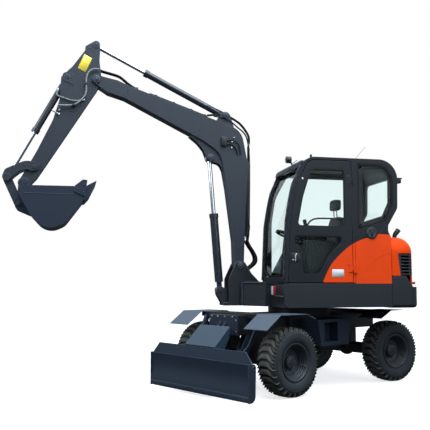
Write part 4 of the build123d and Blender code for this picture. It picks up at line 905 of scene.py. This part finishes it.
for name, low, high, bevel, finish in (
    ("marker_lamp_clear", (0.5105, 0.392, 1.204), (0.528, 0.488, 1.322), 0.006, LENS_WHITE),
    ("marker_lamp_red", (0.5105, 0.492, 1.204), (0.529, 0.572, 1.322), 0.006, MARKER_RED),
    ("marker_lamp_frame", (0.5, 0.378, 1.19), (0.516, 0.586, 1.336), 0.004, BLACK),
):
    blocks(name, [(low, high, bevel)], "upper", finish)
ribs = [((0.512, y - 0.006, 1.195), (0.541, y + 0.006, 1.201), 0.002) for y in (0.62, 0.7, 0.78, 0.86)]
blocks("cab_step", [((0.5, 0.59, 1.18), (0.545, 0.9, 1.196), 0.003),
                    ((0.5, 0.59, 1.192), (0.508, 0.9, 1.34), 0.003), *ribs], "upper", CHARCOAL)


# Boom: weld seams, pipes, hoses and pin heads

WELD_RADIUS = 0.0042
# Where the boom's hoses run side by side, as their y
NEAR_LANE, MAIN_LANE, NEXT_LANE, FAR_LANE = -0.122, -0.15, -0.182, -0.212


def boom_top(x):
    """Height of the straight part of the boom's upper edge."""
    return 3.672 + (x - 1.18) * 0.3431


welds("boom_weld_seams", [
    [(1342, 3714), (1370, 3640), (1420, 3520), (1458, 3425)],
    [(905, 1944), (880, 1890), (839, 1817), (805, 1885), (763, 1966), (732, 2037)],
    [(2416, 4060), (2440, 3990), (2473, 3907)],
], BOOM_FACE, "boom")
pipe = [(x, boom_top(x) + 0.013) for x in (2.121, 1.933, 1.642, 1.422, 1.3)]
tubes("boom_hard_pipes", runs((0.0085, -0.108, pipe), (0.0085, -0.134, pipe)), "boom", CYLINDER)
bm = bmesh.new()
for x in (2.03, 1.78, 1.53, 1.33):
    z = boom_top(x)
    add_block(bm, (x - 0.016, -0.148, z - 0.006), (x + 0.016, -0.094, z + 0.026), 0.004)
    add_bolt(bm, (x, -0.121, z + 0.025), UP, 0.006)
piece("boom_pipe_clamps", bm, "boom", BLACK)

BEND_OUTER = mm([(1289, 3750), (1120, 3775), (984, 3759), (891, 3712), (787, 3646), (683, 3507), (662, 3425),
                 (673, 3331)])
BEND_INNER = mm([(1200, 3735), (1050, 3720), (919, 3652), (857, 3594), (764, 3527), (702, 3437), (684, 3300)])
BACK = mm([(673, 3331), (673, 3126), (674, 2907), (676, 2689), (679, 2472), (683, 2213), (687, 2056),
           (701, 1960)])
tubes("boom_bend_hoses", runs(
    (0.0125, MAIN_LANE, BEND_OUTER), (0.011, NEAR_LANE, BEND_INNER), (0.011, NEXT_LANE, BEND_OUTER),
    (0.0115, MAIN_LANE, BACK), (0.011, NEAR_LANE, [BEND_INNER[-1]] + BACK[1:]), (0.011, NEXT_LANE, BACK),
    (0.0105, FAR_LANE, BACK),
), "boom", HOSE)
bm = bmesh.new()
for y in (MAIN_LANE, NEXT_LANE):
    add_rod(bm, (0.673, y, 3.331), (0.676, y, 3.225), 0.0155, sides=6, bevel=0.001)
    add_rod(bm, (0.671, y, 3.36), (0.673, y, 3.331), 0.0135)
piece("boom_hose_fittings", bm, "boom", ZINC)
# Black plate with bolts behind the hoses along the boom's back; its black is partly painted shade of the
# boom's back
bm = bmesh.new()
guard = mm([(708, 3110), (672, 3085), (672, 2850), (674, 2600), (679, 2300), (690, 2055), (735, 2015),
            (768, 2060), (760, 2222), (735, 2700), (715, 3060)])
add_plate(bm, guard, -0.235, -0.108, 0.005)
for z in (3.03, 2.7, 2.4, 2.13):
    add_bolt(bm, (0.7035, -0.1085, z), OUT, 0.007)
piece("boom_hose_guard_shade", bm, "boom", BLACK)
BUNDLE = mm([(701, 1960), (670, 1890), (610, 1810), (566, 1720), (572, 1650), (630, 1595), (700, 1545)])
tubes("boom_foot_hoses", runs(
    (0.015, MAIN_LANE, BUNDLE), (0.015, -0.19, BUNDLE), (0.014, -0.23, BUNDLE),
    (0.013, -0.12, [(x + 0.02, z + 0.012) for x, z in BUNDLE]),
    (0.013, -0.26, [(x + 0.016, z + 0.01) for x, z in BUNDLE]),
), ("boom", "upper"), HOSE, across=((0.64, -0.19, 1.85), (0.64, -0.19, 1.59)))
hook = mm([(735, 2205), (700, 2200), (667, 2190), (664, 2150), (668, 2118)])
tubes("boom_hook", runs((0.0055, MAIN_LANE, hook)), "boom", ZINC)

bm = bmesh.new()
add_block(bm, (1.02, BOOM_FACE - 0.002, 3.3), (1.1, BOOM_FACE + 0.04, 3.43), 0.005)
for z in (3.385, 3.33):
    add_rod(bm, (0.985, BOOM_FACE + 0.018, z), (1.025, BOOM_FACE + 0.018, z), 0.013, sides=6)
for z in (3.318, 3.412):
    for x in (1.04, 1.08):
        add_bolt(bm, (x, BOOM_FACE + 0.039, z), OUT, 0.007)
piece("boom_line_valve", bm, "boom", BLACK)
bm = bmesh.new()
for x, z in ((0.942, 3.363), (0.948, 3.276), (0.911, 3.425)):
    add_rod(bm, (x, BOOM_FACE - 0.002, z), (x, BOOM_FACE + 0.024, z), 0.011, sides=6, bevel=0.001)
    add_rod(bm, (x, BOOM_FACE + 0.02, z), (x, BOOM_FACE + 0.03, z), 0.007, sides=20, bevel=0.001)
piece("boom_line_ports", bm, "boom", ZINC)
# Lines as (x, distance off the boom's side, z)
VALVE_LINES = [
    mm([(986, 18, 3385), (950, 22, 3390), (860, 22, 3360), (830, 18, 3290), (819, 12, 3210),
        (818, -4, 3180)]),
    mm([(986, 18, 3330), (930, 22, 3320), (880, 18, 3260), (862, 8, 3200), (860, -4, 3170)]),
]
tubes("boom_valve_lines", [(0.008, [(x, BOOM_FACE + off, z) for x, off, z in line]) for line in VALVE_LINES],
      "boom", HOSE)

pin_heads("boom_pin_heads", [(2.861, 4.155, 0.054, BOOM_Y + 0.118), (1.022, 3.752, 0.044, BOOM_FACE),
                             (1.25, 3.135, 0.048, BOOM_FACE)], "boom")
pin_heads("arm_pin_heads", [(2.87, 4.657, 0.04, ARM_FACE), (3.253, 4.177, 0.04, ARM_FACE)], "arm")
pin_heads("boom_foot_pin_head", [(0.834, 1.606, 0.044, BOOM_Y + 0.162)], "upper")


# Arm: weld seams, label, hoses, and the hoses that cross from the boom

welds("arm_weld_seams", [
    [(2987, 4614), (2930, 4590), (2891, 4570), (2861, 4523), (2846, 4470), (2840, 4414)],
    [(3123, 4300), (3160, 4215), (3204, 4121), (3267, 3989)],
    [(3327, 3731), (3250, 3700), (3167, 3686), (3110, 3700), (3074, 3726)],
], ARM_FACE, "arm")
sheet("arm_label", mm([(3027, 4506, 6), (2922, 4454, 6), (3009, 4253, 6), (3114, 4305, 6)]),
      side_view(ARM_FACE - 0.0002), 0.0016, 0.0004, "arm", LABEL_YELLOW)
outer_hose = mm([(2825, 4295), (2906, 4300), (2972, 4245), (3002, 4145), (2989, 3967), (3021, 3887),
                 (3113, 3793), (3206, 3758), (3364, 3759)])
inner_hose = mm([(3378, 3957), (3396, 3915), (3358, 3884), (3292, 3869), (3207, 3839), (3114, 3835),
                 (3058, 3848)])
tubes("arm_pale_hoses", runs((0.0115, ARM_FACE + 0.041, outer_hose), (0.01, ARM_FACE + 0.022, inner_hose)),
      "arm", PALE_HOSE)
bm = bmesh.new()
# Start and end of each fitting, its radius, and how far off the arm's side it starts
for (x, z), (end_x, end_z), radius, off in (
    ((3.364, 3.759), (3.352, 3.7), 0.013, 0.041), ((3.445, 3.692), (3.351, 3.639), 0.013, 0.018),
    ((3.058, 3.848), (3.026, 3.856), 0.012, 0.018), ((3.378, 3.957), (3.372, 3.985), 0.012, 0.018),
):
    add_rod(bm, (x, ARM_FACE + off, z), (end_x, ARM_FACE + 0.012, end_z), radius, sides=6, bevel=0.001)
    add_rod(bm, (end_x, ARM_FACE - 0.003, end_z), (end_x, ARM_FACE + 0.024, end_z), radius * 1.05, sides=20,
            bevel=0.001)
piece("arm_hose_fittings", bm, "arm", ZINC)
bm = bmesh.new()
for x, z in ((3.0, 4.08), (3.16, 3.772)):
    add_block(bm, (x - 0.018, ARM_FACE - 0.002, z - 0.018), (x + 0.018, ARM_FACE + 0.055, z + 0.018), 0.004)
    add_bolt(bm, (x, ARM_FACE + 0.054, z), OUT, 0.006)
piece("arm_hose_clamps", bm, "arm", BLACK)
JOINT = mm([(2300, 4075), (2394, 4125), (2478, 4196), (2543, 4245), (2680, 4278), (2798, 4304), (2860, 4330)])
tubes("arm_joint_hoses", [(0.0115, at_y(y, JOINT)) for y in (-0.16, -0.19, -0.22)], ("boom", "arm"), HOSE,
      across=((2.48, -0.19, 4.196), (2.78, -0.19, 4.3)))
bm = bmesh.new()
add_block(bm, (2.28, -0.245, 4.05), (2.32, -0.135, 4.092), 0.004)
for y in (-0.175, -0.205):
    add_bolt(bm, (2.3, y, 4.091), UP, 0.006)
piece("arm_joint_hose_clamp", bm, "boom", BLACK)
ram_line = mm([(1336, 3899), (1254, 3883), (1119, 3834), (1036, 3797), (990, 3760)])
tubes("arm_ram_line", runs((0.0095, MAIN_LANE, ram_line)), "arm_ram_barrel", CYLINDER)


# Bucket: cutter bolts and the side plate's weld

BUCKET_SIDE = BOOM_Y + 0.3
cutter_bolts = at_y(BUCKET_SIDE + 0.017, [(3.082, 2.592), (3.012, 2.56), (2.998, 2.652)])
bolts("bucket_cutter_bolts", cutter_bolts, OUT, 0.011, "bucket", BLACK)
welds("bucket_side_weld", [[(3780, 2528), (3500, 2526), (3300, 2525), (3060, 2523)]], BUCKET_SIDE, "bucket")


# Undercarriage: bolts of the front and side beams

BEAM_FRONT = 1.4165
bm = bmesh.new()
for y in (-0.213, 0.034, 0.18, -0.1):
    add_bolt(bm, (BEAM_FRONT, y, 0.94), AHEAD, 0.014)
for side in (-1, 1):
    for z in (0.76, 0.9):
        add_bolt(bm, (BEAM_FRONT, side * 0.245, z), AHEAD, 0.012)
piece("front_beam_bolts", bm, "undercarriage", ZINC, place=STANDS)
bm = bmesh.new()
for side in (-1, 1):
    for x in (-1.2, -0.6, 0.6, 1.15, 1.3):
        add_bolt(bm, (x, side * 0.285, 0.84), OUT * side, 0.012)
piece("side_beam_bolts", bm, "undercarriage", BLACK, place=STANDS)


# Blade: smooth concave board with end plates and raised lip, and its cutting edge with bolts

BLADE_FACE = 1.863
BLADE_HALF = 0.95
BOARD_HALF = BLADE_HALF - 0.003
PLATE_THICKNESS = 0.016
EYE_X, EYE_Z = BLADE_FACE - 0.075, 0.41
# Section of the board, ahead of its face, from its foot up the front and down the back
SECTION = mm([(-18, 38.2), (2, 38), (1.5, 60), (0, 112), (-8.5, 160), (-16.5, 210), (-21.5, 250),
              (-23.5, 285), (-22.5, 320), (-17.5, 365), (-9.5, 410), (0, 458), (-12, 458.4), (-46, 449),
              (-61.5, 585.8), (-71.5, 585.8), (-60, 420), (-40, 280), (-18, 112)])
END_PLATE = mm([(0, 30, 0), (2, 460, 4), (-112, 456, 36), (-100, 36, 70)])
bm = bmesh.new()
right, left = ([bm.verts.new((BLADE_FACE + x, y, z)) for x, z in SECTION] for y in (-BOARD_HALF, BOARD_HALF))
for k in range(len(SECTION)):
    n = (k + 1) % len(SECTION)
    bm.faces.new((right[k], right[n], left[n], left[k]))
bm.faces.new(right)
bm.faces.new(left)
for side in (-1, 1):
    # Cuts the lip's end on the slant
    point = Vector((BLADE_FACE, side * (BLADE_HALF - 0.12), 0.59))
    normal = Vector((0, side * 0.13, 0.12))
    geom = bm.verts[:] + bm.edges[:] + bm.faces[:]
    bmesh.ops.bisect_plane(bm, geom=geom, plane_co=point, plane_no=normal, clear_outer=True)
    bmesh.ops.holes_fill(bm, edges=[e for e in bm.edges if e.is_boundary], sides=0)
for side in (-1, 1):
    outline = [(BLADE_FACE + x, z, r) for x, z, r in END_PLATE]
    low = min(side * BLADE_HALF, side * (BLADE_HALF - PLATE_THICKNESS))
    add_sheet(bm, outline, side_view(low), PLATE_THICKNESS, 0.002)
    add_ring(bm, (EYE_X, side * (BLADE_HALF - 0.0005), EYE_Z), OUT, 0.0225, 0.0065, sides=12)
board = piece("blade_curved_board", bm, "blade", SLATE_DARK, place=STANDS, sharp=12)
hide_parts("blade_board")
# Painted shade: a black disc in each eye of the end plates, for the dark of the bore
bm = bmesh.new()
for side in (-1, 1):
    eye = (EYE_X, side * (BLADE_HALF + 0.0003), EYE_Z)
    add_spin(bm, [(-0.01, 0.0), (-0.01, 0.015), (0.0004, 0.0155), (0.0006, 0.0)], eye, OUT, steps=32)
piece("blade_eye_bore_shades", bm, "blade", SEAL, place=STANDS)
edge = ((BLADE_FACE - 0.004, -0.932, 0.0395), (BLADE_FACE + 0.0045, 0.932, 0.104), 0.002)
blocks("blade_cutting_edge", [edge], "blade", SLATE_DARK, STANDS)
bm = bmesh.new()
for k in range(9):
    y = -0.86 + 0.215 * k
    add_rod(bm, (BLADE_FACE + 0.002, y, 0.072), (BLADE_FACE + 0.0065, y, 0.072), 0.01, 0.008, sides=20)
piece("cutting_edge_bolts", bm, "blade", SLATE_DARK, place=STANDS)


# Cab's lining, near black to stand in for the shade under the roof, quarter window's border and right trim

# Near black lining under the roof: a real lining that also serves as painted shade in the cab's top
lining = ((-0.88, -0.012, 2.934), (0.185, 0.884, 2.957), 0.008)
lining_ribs = [((x - 0.012, 0.01, 2.93), (x + 0.012, 0.86, 2.936), 0.002) for x in (-0.7, -0.35, 0.0)]
blocks("cab_headliner_shade", [lining, *lining_ribs], "upper", CAB_PLASTIC)
piece("quarter_window_border", seal_strip(QUARTER_WINDOW, side_view(0.9065), 0.078, 0.002), "upper", SEAL)
trim = mm([(-400, 1440, 20), (130, 1440, 40), (130, 1900, 60), (60, 2080, 60), (-400, 2092, 20)])
sheet("cab_right_trim", trim, side_view(-0.012), 0.024, 0.006, "upper", CAB_PLASTIC)


# Rear: marker and exhaust tip

EXHAUST_Y = 0.3
bm = bmesh.new()
add_plate(bm, mm([(-1335, 1346), (-1400, 1346), (-1404, 1378), (-1338, 1378)]), 0.64, 0.745, 0.006)
piece("rear_marker", bm, "upper", MARKER_RED)
bm = bmesh.new()
add_rod(bm, (-1.33, EXHAUST_Y, 1.96), (-1.352, EXHAUST_Y, 2.05), 0.03, sides=32)
add_rod(bm, (-1.35, EXHAUST_Y, 2.045), (-1.405, EXHAUST_Y, 2.112), 0.033, 0.036, sides=32, bevel=0.003)
add_ring(bm, (-1.405, EXHAUST_Y, 2.112), (-0.63, 0, 0.77), 0.0345, 0.0035)
piece("exhaust_tip", bm, "upper", BLACK)
# Black disc at the tip's mouth: soot in the pipe, with the shade of its open inside painted in
bm = bmesh.new()
add_rod(bm, (-1.398, EXHAUST_Y, 2.103), (-1.4065, EXHAUST_Y, 2.1135), 0.03, sides=32)
piece("exhaust_mouth_soot_and_shade", bm, "upper", SEAL)


# Front fenders' stays, each a plate with a round bar along its front edge

STAY_FRONT = mm([(1285, 940), (1352, 790), (1452, 612), (1580, 512)])
STAY = mm([(1215, 940)]) + STAY_FRONT + mm([(1560, 478), (1405, 575), (1372, 612), (1262, 800)])
bm = bmesh.new()
for side in (-1, 1):
    low, high = sorted((side * 0.492, side * 0.502))
    add_plate(bm, STAY, low, high, 0.002)
    for (x, z), (ahead, down) in zip(STAY_FRONT, STAY_FRONT[1:]):
        add_rod(bm, (x, side * 0.51, z), (ahead, side * 0.51, down), 0.0085, sides=12)
piece("front_fender_stays", bm, "undercarriage", SLATE_DARK, place=STANDS)


# Seat: stuffed cushion, back and headrest on their base

SIDE_SEAMS = (-0.58, 0.58)


def stuffed(name, low, high, across_seams, puff, lean=0.0, foot=(0, 0, 0)):
    """Crowned pad between two corners, its big faces puffed between the sewn channels.

    It leans, in radians, about its foot.
    """
    bm = bmesh.new()
    add_block(bm, low, high)
    bmesh.ops.subdivide_edges(bm, edges=bm.edges[:], cuts=23, use_grid_fill=True)
    low, high = Vector(low), Vector(high)
    size, middle = high - low, (low + high) / 2
    thin = min(range(3), key=lambda k: size[k])
    tall = 0 if thin == 2 else 2
    for v in bm.verts:
        u = (v.co[1] - middle[1]) / (size[1] / 2)
        w = (v.co[tall] - middle[tall]) / (size[tall] / 2)
        corner = (abs(u) ** 6 + abs(w) ** 6) ** (1 / 6)
        shrink = 1 - 0.1 * max(0.0, corner - 0.85) / 0.15
        for k in (1, tall):
            v.co[k] = middle[k] + (v.co[k] - middle[k]) * shrink
        crown = (1 - min(1.0, abs(u)) ** 2.4) * (1 - min(1.0, abs(w)) ** 2.4)
        channel = 1.0
        for seam in across_seams:
            channel -= 0.55 * math.exp(-((w - seam) / 0.045) ** 2)
        for seam in SIDE_SEAMS:
            channel -= 0.45 * math.exp(-((u - seam) / 0.04) ** 2)
        side = (v.co[thin] - middle[thin]) / (size[thin] / 2)
        v.co[thin] += side * puff * crown * max(0.2, channel) - side * size[thin] * 0.16 * (1 - crown) ** 3
    foot = Vector(foot)
    tilt = Matrix.Rotation(lean, 4, "Y")
    place_verts(bm, bm.verts, Matrix.Translation(foot) @ tilt @ Matrix.Translation(-foot))
    bmesh.ops.smooth_vert(bm, verts=bm.verts[:], factor=0.5, use_axis_x=True, use_axis_y=True,
                          use_axis_z=True)
    made = piece(name, bm, "upper", SEAT_CLOTH, sharp=80)


stuffed("seat_cushion", (-0.33, 0.205, 1.675), (0.158, 0.665, 1.78), (-0.45, 0.15), 0.014)
stuffed("seat_back", (-0.385, 0.218, 1.745), (-0.29, 0.652, 2.29), (-0.55, -0.1, 0.35), 0.014, -0.17,
        (-0.33, 0.435, 1.745))
stuffed("seat_headrest", (-0.432, 0.31, 2.345), (-0.35, 0.56, 2.505), (0.0,), 0.01, -0.05,
        (-0.39, 0.435, 2.345))
bm = bmesh.new()
add_block(bm, (-0.33, 0.245, 1.408), (0.06, 0.625, 1.56), 0.012)
add_block(bm, (-0.3, 0.262, 1.555), (0.09, 0.608, 1.69), 0.02)
for k in range(5):
    z = 1.575 + 0.02 * k
    add_block(bm, (-0.306, 0.256, z), (0.096, 0.614, z + 0.009), 0.004)
for y in (0.385, 0.485):
    add_rod(bm, (-0.398, y, 2.235), (-0.392, y, 2.38), 0.0065, sides=16)
add_block(bm, (-0.405, 0.3, 1.7), (-0.34, 0.57, 1.9), 0.02)
frame_of_seat = piece("seat_base", bm, "upper", CAB_PLASTIC)
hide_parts("seat")

# Rail inside the cab's left side
rail = mm([(165, 2110), (150, 2150), (68, 2200), (-120, 2202), (-311, 2198), (-340, 2150)])
tubes("cab_grab_rails", runs((0.011, 0.85, rail)), "upper", CAB_PLASTIC)


# Camera, light and floor

CAMERA_PLACE = (7.0053, 6.4048, 1.3778)
CAMERA_YAW = math.radians(229.57)
CAMERA_PITCH = math.radians(5.763)
FOCAL_LENGTH = 55.44
FLOOR_SIZE = 60.0


def aim(thing, towards):
    """Turns a camera or a lamp so that it looks along a direction."""
    thing.rotation_mode = "QUATERNION"
    thing.rotation_quaternion = towards.to_track_quat("-Z", "Y")


def set_stage():
    scene = bpy.context.scene
    level = math.cos(CAMERA_PITCH)
    look = Vector((math.cos(CAMERA_YAW) * level, math.sin(CAMERA_YAW) * level, math.sin(CAMERA_PITCH)))
    camera = bpy.data.objects.new("camera", bpy.data.cameras.new("camera"))
    camera.data.lens = FOCAL_LENGTH
    camera.data.sensor_width = 36.0
    camera.location = CAMERA_PLACE
    aim(camera, look)
    scene.collection.objects.link(camera)
    scene.camera = camera
    scene.view_settings.view_transform = "Standard"
    # Area lights: place, what they point at, size, power
    for title, place, target, size, power in (
        ("top_light", (2.0, 2.5, 9.0), (0, 0, 1.5), 7.0, 900),
        ("front_light", (8.0, -2.0, 5.0), (0.5, 0, 1.5), 4.0, 200),
        ("side_light", (1.0, 9.5, 5.0), (0, 0, 1.5), 5.0, 150),
    ):
        lamp = bpy.data.objects.new(title, bpy.data.lights.new(title, "AREA"))
        lamp.data.size = size
        lamp.data.energy = power
        lamp.data.color = (0.84, 0.93, 1.0)
        lamp.location = place
        aim(lamp, Vector(target) - Vector(place))
        scene.collection.objects.link(lamp)
    world = bpy.data.worlds.new("studio")
    scene.world = world
    world.use_nodes = True
    tree = world.node_tree
    backdrop = tree.nodes["Background"]
    backdrop.inputs["Color"].default_value = (1, 1, 1, 1)
    backdrop.inputs["Strength"].default_value = 1.0
    # The camera, also through glass, sees plain white, and the machine is lit by a sky that brightens upwards
    height = node(tree, "SeparateXYZ", {0: node(tree, "TexCoord").outputs["Generated"]}).outputs[2]
    room = node(tree, "Background", {"Color": (0.78, 0.9, 1.0, 1),
                                     "Strength": ramp(tree, height, -0.2, 0.95, 0.06, 1.3)})
    path = node(tree, "LightPath")
    seen = reckon(tree, "MAXIMUM", path.outputs["Is Camera Ray"], path.outputs["Is Transmission Ray"])
    sight = node(tree, "MixShader", {0: seen, 1: room.outputs[0], 2: backdrop.outputs[0]})
    tree.links.new(sight.outputs[0], tree.nodes["World Output"].inputs[0])
    bm = bmesh.new()
    bmesh.ops.create_grid(bm, x_segments=1, y_segments=1, size=FLOOR_SIZE)
    mesh = bpy.data.meshes.new("floor")
    bm.to_mesh(mesh)
    bm.free()
    floor = bpy.data.objects.new("floor", mesh)
    material, tree, shader = new_material("floor_white", specular=0.1)
    shader.inputs["Base Color"].default_value = (0.6, 0.6, 0.6, 1)
    shader.inputs["Roughness"].default_value = 0.9
    shader.inputs["Emission Color"].default_value = (1, 1, 1, 1)
    shader.inputs["Emission Strength"].default_value = 0.72
    mesh.materials.append(material)
    scene.collection.objects.link(floor)
    floor.visible_glossy = False
    floor.visible_diffuse = False


set_stage()
